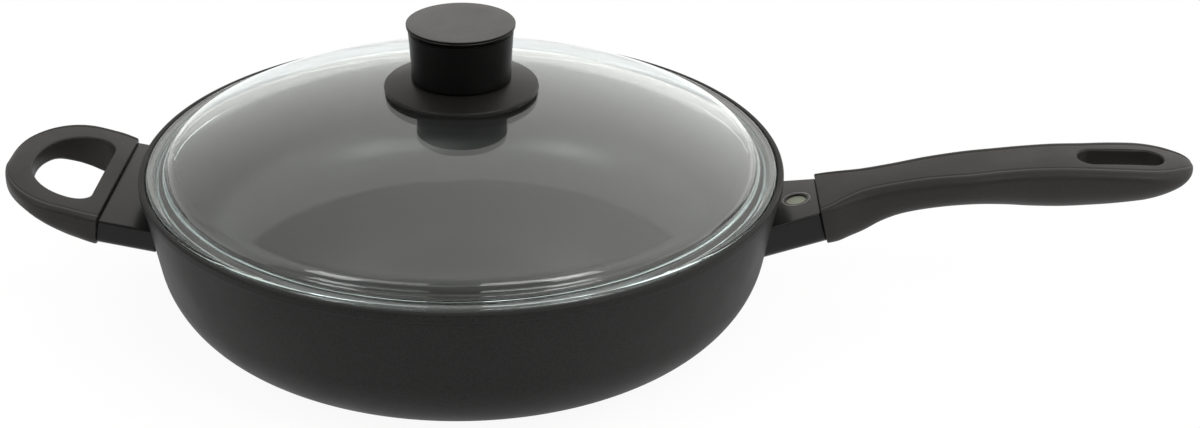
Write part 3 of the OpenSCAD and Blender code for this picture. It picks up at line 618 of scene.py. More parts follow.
def joined(name, meshes):
    """One mesh from several that share a material."""
    work = bmesh.new()
    for mesh in meshes:
        work.from_mesh(mesh)
    result = bpy.data.meshes.new(name)
    result.materials.append(meshes[0].materials[0])
    work.to_mesh(result)
    work.free()
    return result


# Pan

# The side rises from the foot at the flare's angle and ends at the wall's, with an arc at both turns
FLARE_ANGLE, WALL_ANGLE = 30.0, 80.0
FOOT_R, TURN_R = 16 * MM, 38 * MM
BAND_H, BAND_PROUD = 4.3 * MM, 0.7 * MM
LEDGE_DROP = 3.5 * MM
HOLE_R, HOLE_RINGS, FIRST_RING_HOLES = 2.5 * MM, 3, 8
FIT_GAP = 0.05 * MM
BAND_Z = PAN_H - BAND_H
WALL_TOP_R = RIM_R - BAND_PROUD


def wall_r_at(z):
    """Radius of the straight upper wall's outer face at a height."""
    return WALL_TOP_R - (BAND_Z - z) / math.tan(math.radians(WALL_ANGLE))


def wall_arcs(base_r):
    """Centre of the arc between the flare and the upper wall."""
    flare, wall = math.radians(FLARE_ANGLE), math.radians(WALL_ANGLE)
    foot_rise = FOOT_R * (1 - math.cos(flare))
    turn_rise = TURN_R * (math.cos(flare) - math.cos(wall))
    reach_out = FOOT_R * math.sin(flare) + TURN_R * (math.sin(wall) - math.sin(flare))
    flare_l = ((WALL_TOP_R - base_r - reach_out - (BAND_Z - foot_rise - turn_rise) / math.tan(wall))
               / (math.cos(flare) - math.sin(flare) / math.tan(wall)))
    turn_x = base_r + FOOT_R * math.sin(flare) + flare_l * math.cos(flare) - TURN_R * math.sin(flare)
    turn_z = foot_rise + flare_l * math.sin(flare) + TURN_R * math.cos(flare)
    return turn_x, turn_z


def pan_outline(s):
    """Section of the pan from the underside's centre, up outside, over the rim and down inside."""
    turn_x, turn_z = wall_arcs(s.base_r)
    flare = math.radians(FLARE_ANGLE)
    inner_r = TURN_R - s.wall_t
    floor_r = (turn_x + inner_r * math.sin(flare)
               - (turn_z - inner_r * math.cos(flare) - s.floor_t) / math.tan(flare))
    soft_r = 9 * MM
    soft_x = soft_r * math.tan(flare / 2)
    lip_r = RIM_R - s.lip_w
    ledge_r = lip_r - s.ledge_w
    ledge_z = PAN_H - LEDGE_DROP
    thick_r = wall_r_at(BAND_Z - BAND_H) - s.wall_t / math.sin(math.radians(WALL_ANGLE))
    recess_r, recess_z = DISC_R + FIT_GAP, DISC_T + FIT_GAP
    crease = 0.35 * MM
    return (
        [(0.0, recess_z), (recess_r, recess_z), (recess_r, crease), (recess_r + crease, 0.0)]
        + arc(s.base_r, FOOT_R, FOOT_R, -90, FLARE_ANGLE - 90, 12)
        + arc(turn_x, turn_z, TURN_R, FLARE_ANGLE - 90, WALL_ANGLE - 90, 28)
        + [(wall_r_at(BAND_Z - 0.4 * MM), BAND_Z - 0.4 * MM)]
        + arc(WALL_TOP_R + 0.25 * MM, BAND_Z - 0.1 * MM, 0.3 * MM, 170, 100, 4)
        + arc(RIM_R - 0.3 * MM, BAND_Z + BAND_PROUD - 0.05 * MM, 0.3 * MM, -40, 0, 4)
        + arc(RIM_R - s.rim_round, PAN_H - s.rim_round, s.rim_round, 0, 90, 10)
        + arc(lip_r + s.rim_round / 2, PAN_H - s.rim_round / 2, s.rim_round / 2, 90, 180, 6)
        + arc(lip_r - 0.2 * MM, ledge_z + 0.2 * MM, 0.2 * MM, 0, -90, 3)
        + arc(ledge_r + 0.4 * MM, ledge_z - 0.4 * MM, 0.4 * MM, 90, 180, 5)
        + [(ledge_r, BAND_Z), (thick_r, BAND_Z - BAND_H)]
        + arc(turn_x, turn_z, inner_r, WALL_ANGLE - 90, FLARE_ANGLE - 90, 28)
        + arc(floor_r - soft_x, s.floor_t + soft_r, soft_r, FLARE_ANGLE - 90, -90, 10)
        + [(0.6 * floor_r, s.floor_t), (0.3 * floor_r, s.floor_t), (0.0, s.floor_t)])


def make_pan_body(scene):
    """Coated shell with its recess underneath."""
    s = scene.pan_settings
    obj = turned("pan_shell", pan_outline(s), "outside_coating", sharp_angle=40.0)
    mesh = obj.data
    mesh.materials.append(finish("inside_coating"))
    mesh.materials.append(finish("bare_aluminium"))
    lip_r = RIM_R - s.lip_w
    for face in mesh.polygons:
        centre, normal = face.center, face.normal
        r = math.hypot(centre.x, centre.y)
        inward = normal.x * centre.x + normal.y * centre.y < 0
        if centre.z < DISC_T + 2 * FIT_GAP and r < DISC_R + 2 * FIT_GAP:
            face.material_index = 2
        elif centre.z > 2 * MM and r < lip_r and (inward or normal.z > 0.5):
            face.material_index = 1
    settle(obj, PAN_BODY, "coated_aluminium", "pan_body")


def peg_mesh(radius, height, edge, sides=28):
    """Short round peg with a rounded lower edge, from z = 0 up."""
    levels = [(radius - edge, 0.0), (radius, edge), (radius, height)]
    rings = [[(r * math.cos(2 * math.pi * i / sides), r * math.sin(2 * math.pi * i / sides), z)
              for i in range(sides)] for r, z in levels]
    return smooth_mesh(loft_mesh("peg", rings), 50.0)


def make_disc(scene):
    """Perforated steel disc and the aluminium pegs in its holes."""
    disc = cad_copy("induction_disc", "steel_disc", "brushed_steel")
    settle(disc, PAN_BODY, "disc_steel", "induction_disc")
    pitch = (DISC_R - 2 * HOLE_R) / (HOLE_RINGS + 0.5)
    rings = []
    for ring in range(1, HOLE_RINGS + 1):
        peg = peg_mesh(HOLE_R - FIT_GAP, DISC_T + 0.2 * MM, 0.15 * MM)
        rings.append(ring_of_copies("pegs", peg, "bare_aluminium", FIRST_RING_HOLES * ring,
                                    pitch * (ring + 0.5), ring / 2))
    pegs = new_object("disc_pegs", smooth_mesh(joined("disc_pegs", rings), 50.0))
    settle(pegs, PAN_BODY, "coated_aluminium")


# Lid and knob

def dome_z_at(r, top_r, centre_z):
    """Height of a dome's face at a radius."""
    return centre_z + math.sqrt(top_r ** 2 - r ** 2)


HUB_HOLE_R = 4.5 * MM
SHOULDER_ANGLE = 70.0
SEAT_Z = PAN_H - LEDGE_DROP + 0.3 * MM


def shoulder_turn(s):
    """Radius, slope in degrees and rounding of the shoulder where it leaves the dome."""
    r = GLASS_R - s.land_w - s.shoulder_w
    steep = math.sin(math.radians(SHOULDER_ANGLE))
    rounding = (s.shoulder_w - s.shoulder_foot_r * steep) / (steep - r / s.dome_r)
    return r, math.degrees(math.asin(r / s.dome_r)), rounding


def dome_centre(s):
    """Height of the dome's centre, from the seat up over the land and the shoulder."""
    r, slope, rounding = shoulder_turn(s)
    flat = 1 - math.cos(math.radians(SHOULDER_ANGLE))
    drop = (rounding * (math.cos(math.radians(slope)) - 1 + flat)) + s.shoulder_foot_r * flat
    return SEAT_Z + 2 * s.bead_r + drop - math.sqrt(s.dome_r ** 2 - r ** 2)


def glass_outline(s):
    """Section of the glass from its hub hole over the dome, round the edge and back under it."""
    centre_z = dome_centre(s)
    shoulder_r, slope, rounding = shoulder_turn(s)
    lean = math.radians(slope)
    turn_x = shoulder_r - rounding * math.sin(lean)
    turn_z = dome_z_at(shoulder_r, s.dome_r, centre_z) - rounding * math.cos(lean)
    land_z = SEAT_Z + 2 * s.bead_r
    skirt_r = GLASS_R - s.bead_r - s.seat_w
    skirt_in_r = skirt_r - s.skirt_t
    foot = s.skirt_t / 3
    inner_r = s.dome_r - s.glass_t
    blend_r = skirt_in_r - s.skirt_t / 2
    blend_z = dome_z_at(blend_r, inner_r, centre_z)
    low_z = SEAT_Z + 0.5 * MM
    corner_z = blend_z - (skirt_in_r - blend_r) * blend_r / math.sqrt(inner_r ** 2 - blend_r ** 2)
    turn = [(skirt_in_r * (1 - u ** 2) + blend_r * u ** 2,
             low_z * (1 - u) ** 2 + 2 * corner_z * u * (1 - u) + blend_z * u ** 2)
            for u in np.linspace(0, 1, 12)[:-1]]
    return ([(r, dome_z_at(r, s.dome_r, centre_z)) for r in np.linspace(HUB_HOLE_R, shoulder_r, 48)]
            + arc(turn_x, turn_z, rounding, 90 - slope, 90 - SHOULDER_ANGLE, 22)[1:]
            + arc(GLASS_R - s.land_w, land_z + s.shoulder_foot_r, s.shoulder_foot_r,
                  270 - SHOULDER_ANGLE, 270, 10)[1:]
            + arc(GLASS_R - s.bead_r, SEAT_Z + s.bead_r, s.bead_r, 90, -90, 22)
            + arc(skirt_r + 0.5 * MM, SEAT_Z - 0.5 * MM, 0.5 * MM, 90, 180, 5)
            + arc(skirt_r - foot, SKIRT_Z + foot, foot, 0, -90, 8)
            + arc(skirt_in_r + foot, SKIRT_Z + foot, foot, -90, -180, 8)
            + turn
            + [(r, dome_z_at(r, inner_r, centre_z)) for r in np.linspace(blend_r, HUB_HOLE_R, 48)])


def make_glass(scene):
    """Domed glass with a shoulder, a flat land, a rounded edge and a skirt."""
    obj = turned("glass_lid", glass_outline(scene.lid_settings), "clear_glass", closed=True,
                 sharp_angle=60.0)
    settle(obj, LID_BODY, "glass", "lid_glass")


# A flat recess for the seal ends FLANGE_SEAT_W inside the grip's foot, FLANGE_SEAT_DROP under the top
FLANGE_BORE_R, FLANGE_SEAT_W, FLANGE_SEAT_DROP, DOME_GAP = 2.8 * MM, 3.3 * MM, 3 * MM, 0.3 * MM
INSERT_HOLE_R, GRIP_HOLLOW_DEPTH, GRIP_WALL = 5.05 * MM, 18 * MM, 5 * MM


def make_flange(scene):
    """Wide thin disc under the grip, hollowed to the dome's curve."""
    s, lid = scene.knob_settings, scene.lid_settings
    centre_z = dome_centre(lid)
    edge_z = FLANGE_LOW_Z + s.flange_t
    rounding = 0.9 * MM
    seat_r, seat_z = s.grip_low_r - FLANGE_SEAT_W, FLANGE_TOP_Z - FLANGE_SEAT_DROP
    slope = math.atan2(FLANGE_TOP_Z - edge_z, FLANGE_R - s.grip_low_r)
    under = [(r, dome_z_at(r, lid.dome_r, centre_z) + DOME_GAP)
             for r in np.linspace(seat_r, FLANGE_R - rounding, 16)]
    flange = turned("flange", (
        [(FLANGE_BORE_R, seat_z), (seat_r, seat_z)] + under
        + arc(FLANGE_R - rounding, FLANGE_LOW_Z + rounding, rounding, -90, 0, 8)
        + arc(FLANGE_R - rounding, edge_z - rounding, rounding, 0, 90 - math.degrees(slope), 8)
        + [(s.grip_low_r + 4 * MM, FLANGE_TOP_Z - 4 * MM * math.tan(slope)),
           (s.grip_low_r - 1 * MM, FLANGE_TOP_Z), (FLANGE_BORE_R, FLANGE_TOP_Z)]),
        "flange_resin", closed=True)
    settle(flange, LID_BODY, "knob_resin", "knob_flange")


def make_grip(scene):
    """Grip that widens towards its top, hollow under the cap and bored for the insert."""
    foot_r = scene.knob_settings.grip_low_r
    foot = 0.8 * MM
    height = CAP_Z - GRIP_Z
    floor_z = CAP_Z - GRIP_HOLLOW_DEPTH
    side = [(foot_r + (GRIP_TOP_R - foot_r) * u ** 1.6, GRIP_Z + foot + (height - foot) * u)
            for u in np.linspace(0.04, 1.0, 24)]
    grip = turned("grip", (
        [(INSERT_HOLE_R, GRIP_Z)] + arc(foot_r - foot, GRIP_Z + foot, foot, -90, 0, 8) + side
        + [(GRIP_TOP_R - GRIP_WALL, CAP_Z), (GRIP_TOP_R - GRIP_WALL - 0.5 * MM, floor_z),
           (INSERT_HOLE_R, floor_z)]), "grip_resin", closed=True)
    settle(grip, LID_BODY, "knob_resin", "knob_body")


def make_cap(scene):
    """Flat cap with a bead round its edge and a leathery top; its side takes the darker grip resin as
    painted shade.
    """
    s = scene.knob_settings
    low_z, low_r = CAP_Z + FIT_GAP, GRIP_TOP_R
    bead, lip = 0.12 * s.cap_t, 0.15 * s.cap_t
    cap = turned("cap", (
        [(0.0, low_z), (low_r - 1 * MM, low_z)]
        + arc(low_r - 0.3 * MM, low_z + 0.3 * MM, 0.3 * MM, -90, -10, 6)
        + arc(CAP_R - 0.1 * MM - bead, CAP_TOP_Z - 0.45 * s.cap_t, bead, -60, 60, 8)
        + arc(CAP_R - lip, CAP_TOP_Z - 2 * lip, 0.3 * lip, 200, 100, 4)
        + arc(CAP_R - lip, CAP_TOP_Z - lip, lip, -30, 90, 12)
        + [(0.7 * CAP_R, CAP_TOP_Z), (0.35 * CAP_R, CAP_TOP_Z), (0.0, CAP_TOP_Z)]), "leathery_resin")
    cap.data.materials.append(finish("grip_resin"))
    # The leathery resin on the top is the cap's own finish. Faces that do not face up, the cap's side among
    # them, take the darker grip resin: painted shade, since that side faces down.
    for face in cap.data.polygons:
        face.material_index = 0 if face.normal.z > 0.6 else 1
    settle(cap, LID_BODY, "cap_resin", "knob_cap")


# Handles

# Width and thickness that the shares are taken of, and how far the top rises from the root on
HANDLE_W, HANDLE_T, HANDLE_RISE = 37.7 * MM, 23 * MM, 20.8 * MM
ROOT_STEP, SEAM_LEAN = 1.8 * MM, 14.5
# Shares along the long handle: along, rise of the top, width, depth, squareness
HANDLE_SHARES = (
    (0.00, 0.000, 1.055, 0.810, 6.0), (0.03, 0.080, 1.010, 0.855, 5.2), (0.06, 0.170, 0.920, 0.880, 4.4),
    (0.10, 0.275, 0.820, 0.880, 3.8), (0.15, 0.380, 0.765, 0.800, 3.1), (0.21, 0.490, 0.760, 0.740, 2.7),
    (0.30, 0.645, 0.805, 0.740, 2.5), (0.40, 0.765, 0.875, 0.755, 2.4), (0.48, 0.855, 0.865, 0.830, 2.4),
    (0.56, 0.930, 0.875, 0.920, 2.4), (0.64, 0.975, 0.910, 0.950, 2.4), (0.72, 0.990, 0.940, 0.920, 2.3),
    (0.78, 1.000, 0.980, 0.870, 2.3), (0.85, 1.000, 1.000, 0.790, 2.2), (1.00, 0.970, 1.000, 0.550, 2.0))
# From TIP_SHARE of the length on, the handle closes on a nose at NOSE_SHARE of the rise
TIP_SHARE, NOSE_SHARE, TIP_TOP_POWER, TIP_SIDE_POWER = 0.85, 0.8, 0.35, 0.9
# The top edge's rounding starts at this share of itself and is full after this share of the length
ROOT_EDGE, ROOT_EDGE_FULL = 0.35, 0.12
SLOT_L, SLOT_W, SLOT_INSET = 38 * MM, 15 * MM, 13 * MM
GROOVE_W, SEAM_ROUND = 2.6 * MM, 0.5 * MM
CUT_LOW_Z, CUT_HIGH_Z = 20 * MM, 140 * MM


def curve(rows, t, col):
    """Smooth curve through the rows of a table at t."""
    i = max(k for k in range(len(rows) - 1) if rows[k][0] <= t or k == 0)

    def slope(k):
        a, b = max(k - 1, 0), min(k + 1, len(rows) - 1)
        return (rows[b][col] - rows[a][col]) / (rows[b][0] - rows[a][0])

    span = rows[i + 1][0] - rows[i][0]
    u = (t - rows[i][0]) / span
    return (rows[i][col] * (2 * u ** 3 - 3 * u ** 2 + 1) + slope(i) * span * (u ** 3 - 2 * u ** 2 + u)
            + rows[i + 1][col] * (3 * u ** 2 - 2 * u ** 3) + slope(i + 1) * span * (u ** 3 - u ** 2))


def round_off(rest, stretch):
    """Falls from 1 to 0 in a quarter ellipse over the last stretch before an end."""
    return 1.0 if rest >= stretch else math.sqrt(max(0.0, 1 - (1 - rest / stretch) ** 2))


def section(x, z, half_w, depth, edge_r, side_h, power, lean, parting=0.0, groove=0.0, belly_steps=26):
    """Closed cross-section at x with a flat top at z, rounded top edges and a full belly."""
    half = []
    if groove:
        flat = half_w - edge_r
        width = min(GROOVE_W, 0.6 * flat)
        deep = groove * width / GROOVE_W
        half = [(flat - width * (1 - u), -deep * math.sin(math.pi * u) ** 2)
                for u in np.linspace(0, 1, 9)[:-1]]
    half += [(half_w - edge_r + edge_r * math.cos(a), edge_r * (math.sin(a) - 1))
             for a in np.radians(np.linspace(90, 0, 11))]
    line_at = 0.0
    if parting:
        line_at = max(side_h, edge_r)
        half += [(half_w, -line_at), (half_w - parting, -line_at - 1.2 * parting)]
        half_w -= parting
    start = max(side_h, edge_r, line_at + 1.2 * parting)
    for a in np.radians(np.linspace(0, 90, belly_steps + 1))[1 if parting or side_h <= edge_r else 0:]:
        half.append((half_w * max(0.0, math.cos(a)) ** (2 / power),
                     -start - (depth - start) * math.sin(a) ** (2 / power)))
    shift = math.tan(math.radians(lean))
    right = [(x - down * shift, across, z + down) for across, down in half]
    left = [(x - down * shift, -across, z + down) for across, down in reversed(half[:-1])]
    return right + left


def seam_inset(distance, rounding):
    """How far a section draws in near a rounded end."""
    if distance >= rounding:
        return 0.0
    return rounding - math.sqrt(max(0.0, rounding ** 2 - (rounding - distance) ** 2))


def handle_ring(t, s, root_z):
    """Cross-section of the long handle at a share of its length."""
    nose_z = root_z + NOSE_SHARE * HANDLE_RISE
    top_z = root_z + HANDLE_RISE * curve(HANDLE_SHARES, t, 1)
    low_z = top_z - HANDLE_T * curve(HANDLE_SHARES, t, 3)
    tip = round_off(1 - t, 1 - TIP_SHARE)
    top = nose_z + (top_z - nose_z) * tip ** TIP_TOP_POWER
    depth = top - nose_z - (low_z - nose_z) * tip ** TIP_SIDE_POWER
    half_w = HANDLE_W / 2 * curve(HANDLE_SHARES, t, 2) * tip ** TIP_SIDE_POWER
    draw = seam_inset(t * HANDLE_L, SEAM_ROUND)
    edge_share = ROOT_EDGE + (1 - ROOT_EDGE) * min(1.0, t / ROOT_EDGE_FULL)
    edge_r = min(s.top_edge_r * edge_share, depth / 2.6, half_w / 1.6)
    return section(SEAM_X + HANDLE_L * t, top - draw, half_w - draw, depth - 2 * draw, edge_r, edge_r,
                   curve(HANDLE_SHARES, t, 4), SEAM_LEAN * (1 - t), groove=s.groove)


def handle_stops():
    """Places along the long handle, close together at both ends."""
    near = [0.0, 0.0006, 0.0014, 0.0024, 0.0038]
    middle = list(np.linspace(0.008, TIP_SHARE, 76))
    tip = [TIP_SHARE + (1 - TIP_SHARE) * math.sin(math.radians(a)) for a in np.linspace(0, 89.2, 34)[1:]]
    return near + middle + tip


def opening_cutter(obj, outline, rounding):
    """Cutter for an opening through a piece, flared where it leaves the top and the underside."""
    tree = BVHTree.FromObject(obj, bpy.context.evaluated_depsgraph_get())
    count = len(outline)
    points = [Vector(p) for p in outline]
    outward = []
    for i, p in enumerate(points):
        along = (points[(i + 1) % count] - points[i - 1]).normalized()
        outward.append(Vector((along.y, -along.x)))
    turning = sum(points[i - 1].x * p.y - points[i - 1].y * p.x for i, p in enumerate(points))
    if turning < 0:
        outward = [-n for n in outward]

    def surface(p, start_z, down):
        hit = tree.ray_cast(Vector((p.x, p.y, start_z)), Vector((0, 0, -1.0 if down else 1.0)))[0]
        if hit is None:
            raise RuntimeError("the opening runs past the edge of " + obj.name)
        return hit.z

    top_z = [surface(p + n * rounding, CUT_HIGH_Z, True) for p, n in zip(points, outward)]
    low_z = [surface(p + n * rounding, CUT_LOW_Z, False) for p, n in zip(points, outward)]
    steps = [math.radians(a) for a in (0, 15, 30, 45, 60, 75)]
    rings = [[(p.x + n.x * rounding, p.y + n.y * rounding, CUT_LOW_Z) for p, n in zip(points, outward)]]
    for a in reversed(steps):
        out, back = rounding * (1 - math.cos(a)), rounding * (1 - math.sin(a))
        rings.append([(p.x + n.x * out, p.y + n.y * out, z + back)
                      for p, n, z in zip(points, outward, low_z)])
    for a in steps:
        out, back = rounding * (1 - math.cos(a)), rounding * (1 - math.sin(a))
        rings.append([(p.x + n.x * out, p.y + n.y * out, z - back)
                      for p, n, z in zip(points, outward, top_z)])
    rings.append([(p.x + n.x * rounding, p.y + n.y * rounding, CUT_HIGH_Z)
                  for p, n in zip(points, outward)])
    return smooth_mesh(loft_mesh("opening", rings))


def slot_outline():
    """Round-ended outline of the hanging slot, seen from above."""
    centre_x = TIP_X - SLOT_INSET - SLOT_L / 2
    r, half = SLOT_W / 2, (SLOT_L - SLOT_W) / 2
    return arc(centre_x + half, 0, r, -90, 90, 20) + arc(centre_x - half, 0, r, 90, 270, 20)


def rod(radius, start, end, sides=40):
    """Closed round rod between two points."""
    start, end = Vector(start), Vector(end)
    axis = (end - start).normalized()
    side = axis.orthogonal().normalized()
    other = axis.cross(side)
    rings = [[tuple(p + radius * (math.cos(a) * side + math.sin(a) * other))
              for a in np.linspace(0, 2 * math.pi, sides, endpoint=False)] for p in (start, end)]
    return smooth_mesh(loft_mesh("rod", rings), 40.0)


def middle_of(node):
    """Middle of a node's box."""
    low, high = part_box(node)
    return (low + high) / 2


def leaning_up(degrees):
    """Upward direction that leans towards -X by an angle in degrees."""
    lean = math.radians(degrees)
    return Vector((-math.sin(lean), 0, math.cos(lean)))


# The two tangs rise outwards, and their screws stand square to them. A head's hole ends this far under
# the middle of its node's box, and the two side screws stand this share of their box in from its sides.
TANG_SLOPE, HEAD_CLEAR_R = 16.0, 4.6 * MM
HEAD_DROP, SIDE_HEAD_DROP, SIDE_SCREW_INSET = 2.9 * MM, 1.6 * MM, 0.054
HEAD_HOLE_L, SIDE_HEAD_HOLE_L = 40 * MM, 30 * MM


def make_long_handle(scene):
    """Long moulded handle with its hanging slot."""
    s = scene.handle_settings
    root_z = NECK_TOP_Z + ROOT_STEP
    rings = [handle_ring(t, s, root_z) for t in handle_stops()]
    obj = new_object("long_grip", smooth_mesh(loft_mesh("long_grip", rings)), "matt_resin")
    bpy.context.view_layer.update()
    subtract(obj, opening_cutter(obj, slot_outline(), s.opening_edge_r))
    up = leaning_up(TANG_SLOPE)
    head_top = middle_of("handle_screw") - up * HEAD_DROP
    subtract(obj, rod(HEAD_CLEAR_R, head_top - up * HEAD_HOLE_L, head_top))
    obj.data.polygons.foreach_set("material_index", [0] * len(obj.data.polygons))
    settle(obj, PAN_BODY, "handle_resin", "long_handle")


LOOP_W, LOOP_T, LOOP_STEP, LOOP_ANGLE, LOOP_LEAN = 89 * MM, 20 * MM, 1.9 * MM, 18.5, 9.0
# Shares along the loop: along, width, depth, squareness
LOOP_SHARES = (
    (0.00, 0.975, 0.830, 5.0), (0.13, 1.000, 0.890, 3.6), (0.27, 1.000, 0.925, 3.0),
    (0.38, 1.000, 0.830, 3.0), (0.54, 1.000, 0.640, 3.2), (0.70, 1.000, 0.430, 3.6),
    (1.00, 1.000, 0.330, 3.0))
LOOP_BAR, LOOP_FAR_BAR, CROSSBAR, CORNER_R = 14 * MM, 11.8 * MM, 7 * MM, 8 * MM
LOOP_STRAIGHT, LOOP_NOSE, LOOP_BOW_R = 0.35 * LOOP_L, 0.1 * LOOP_L, 3.7 * LOOP_L


def loop_top(d):
    """Height of the loop's top face at a distance from its seam."""
    return (SIDE_NECK_TOP_Z + LOOP_STEP + d * math.tan(math.radians(LOOP_ANGLE))
            - d ** 2 / (2 * LOOP_BOW_R))


def loop_ring(d, s):
    """Cross-section of the loop handle at a distance from its seam, drawn towards +X."""
    along = d / LOOP_L
    nose_z = loop_top(LOOP_L) - s.loop_edge_r
    end = round_off(LOOP_L - d, LOOP_NOSE)
    low_z = loop_top(d) - LOOP_T * curve(LOOP_SHARES, along, 2)
    top = nose_z + (loop_top(d) - nose_z) * end
    depth = top - nose_z - (low_z - nose_z) * end
    half_w = LOOP_W / 2 * curve(LOOP_SHARES, along, 1) * round_off(LOOP_L - d, LOOP_L - LOOP_STRAIGHT)
    draw = seam_inset(d, SEAM_ROUND)
    edge_r = min(s.loop_edge_r, depth / 3, half_w / 3)
    parting = s.parting_step if depth > 5 * MM else 0.0
    # Never quite nought, so that every section has the same count of points
    parting = max(parting, 1e-6)
    return section(-LOOP_SEAM_X + d, top - draw, half_w - draw, depth - 2 * draw, edge_r,
                   edge_r + 2 * MM, curve(LOOP_SHARES, along, 3), LOOP_LEAN * (1 - along),
                   parting=parting, groove=s.groove)


def loop_stops():
    """Distances from the loop's seam, close together at both ends."""
    near = [0.0, 0.1 * MM, 0.25 * MM, 0.5 * MM]
    middle = list(np.linspace(1.2 * MM, LOOP_STRAIGHT, 18))
    end = [LOOP_STRAIGHT + (LOOP_L - LOOP_STRAIGHT) * math.sin(math.radians(a))
           for a in np.linspace(0, 89.2, 70)[1:]]
    return near + middle + end


def finger_outline():
    """Outline of the finger opening, straight at the seam's side and half an ellipse beyond."""
    half = LOOP_W / 2 - LOOP_BAR
    end, straight = LOOP_L - LOOP_FAR_BAR, CROSSBAR + CORNER_R
    side = arc(straight, half - CORNER_R, CORNER_R, 180, 90, 12)
    side += [(straight + (end - straight) * math.sin(a), half * math.cos(a))
             for a in np.radians(np.linspace(0, 90, 31))[1:]]
    full = side + [(x, -y) for x, y in reversed(side[:-1])]
    return [(LOOP_SEAM_X - x, y) for x, y in full]


def make_loop_handle(scene):
    """D-shaped loop handle with its finger opening."""
    s = scene.handle_settings
    rings = [loop_ring(d, s) for d in loop_stops()]
    mesh = loft_mesh("loop_grip", rings)
    mesh.transform(Matrix.Rotation(math.pi, 4, "Z"))
    obj = new_object("loop_grip", smooth_mesh(mesh), "matt_resin")
    bpy.context.view_layer.update()
    subtract(obj, opening_cutter(obj, finger_outline(), s.opening_edge_r))
    low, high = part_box("side_screws")
    up = leaning_up(-TANG_SLOPE)
    for side in (-1, 1):
        y = side * (high.y - (high.y - low.y) * SIDE_SCREW_INSET)
        middle = Vector(((low.x + high.x) / 2, y, (low.z + high.z) / 2))
        head_top = middle - up * SIDE_HEAD_DROP
        subtract(obj, rod(HEAD_CLEAR_R, head_top - up * SIDE_HEAD_HOLE_L, head_top))
    obj.data.polygons.foreach_set("material_index", [0] * len(obj.data.polygons))
    settle(obj, PAN_BODY, "handle_resin", "side_handle")


NECK_SLOPE, SIDE_SLOPE, NECK_EDGE_R = 12.5, 10.5, 1.0 * MM
# Width at the rim's radius, how far inside it a neck is drawn, and how deep it sits in the wall's face
NECK_WALL_W, NECK_REACH, NECK_BURIED = 44 * MM, 12 * MM, 1.2 * MM
# The hole's floor lies under the middle of the indicator's box, and the marks lie over it
DIAL_HOLE_R, DIAL_HOLE_DROP, DIAL_HOLE_H = 4.85 * MM, 0.7 * MM, 12 * MM
TICK_SIZE, TICK_RISE = (0.7 * MM, 0.24 * MM, 0.1 * MM), 1.73 * MM


def neck_mesh(name, end_x, top_z, seam_w, wall_w, depth, slope, lean):
    """Neck from its seam face to just inside the pan's wall, drawn towards +X."""
    reach_in = end_x - (RIM_R - NECK_REACH)
    rise = math.tan(math.radians(slope))

    def ring(back, draw=0.0):
        width = seam_w + (wall_w - seam_w) * back / reach_in
        return section(end_x - back, top_z - back * rise - draw, width / 2 - draw, depth - 2 * draw,
                       NECK_EDGE_R, depth / 3, 5.0, lean, belly_steps=22)

    seam, wall = ring(0.5 * MM), ring(reach_in)
    placed = []
    for p, q in zip(seam, wall):
        low, high = 0.0, 1.0
        for _ in range(30):
            mid = (low + high) / 2
            at = [p[k] + (q[k] - p[k]) * mid for k in range(3)]
            outside = math.hypot(at[0], at[1]) > wall_r_at(min(at[2], BAND_Z)) - NECK_BURIED
            low, high = (mid, high) if outside else (low, mid)
        placed.append(low)
    rings = [[tuple(p[k] + (q[k] - p[k]) * u * share_along for k in range(3))
              for p, q, u in zip(seam, wall, placed)] for share_along in np.linspace(1.0, 0.0, 9)]
    rings += [ring(0.3 * MM, 0.04 * MM), ring(0.12 * MM, 0.13 * MM), ring(0.0, 0.4 * MM)]
    return loft_mesh(name, rings)


def make_necks(scene):
    """Necks between the wall and the two handles."""
    root_w, root_t = HANDLE_W * HANDLE_SHARES[0][2], HANDLE_T * HANDLE_SHARES[0][3]
    neck_w, neck_t = root_w - 2 * ROOT_STEP, root_t - 1.5 * ROOT_STEP
    end_x = SEAM_X + ROOT_STEP * math.tan(math.radians(SEAM_LEAN)) - FIT_GAP
    flare = (NECK_WALL_W - neck_w) / (SEAM_X - RIM_R)
    wall_w = neck_w + flare * (end_x - RIM_R + NECK_REACH)
    mesh = neck_mesh("long_neck", end_x, NECK_TOP_Z, neck_w, wall_w, neck_t, NECK_SLOPE, SEAM_LEAN)
    obj = new_object("long_neck", smooth_mesh(mesh), "smooth_resin")
    up = leaning_up(NECK_SLOPE)
    floor = middle_of("indicator_disc") - up * DIAL_HOLE_DROP
    subtract(obj, rod(DIAL_HOLE_R, floor, floor + up * DIAL_HOLE_H, 64))
    settle(obj, PAN_BODY, "neck_resin", "handle_neck")
    width = LOOP_W * LOOP_SHARES[0][1] - 2 * ROOT_STEP
    depth = LOOP_T * LOOP_SHARES[0][2] - 1.6 * LOOP_STEP
    end_x = -LOOP_SEAM_X + LOOP_STEP * math.tan(math.radians(LOOP_LEAN)) - FIT_GAP
    mesh = neck_mesh("loop_neck", end_x, SIDE_NECK_TOP_Z, width, width, depth, SIDE_SLOPE, LOOP_LEAN)
    mesh.transform(Matrix.Rotation(math.pi, 4, "Z"))
    obj = new_object("loop_neck", smooth_mesh(mesh), "smooth_resin")
    settle(obj, PAN_BODY, "neck_resin", "side_neck")


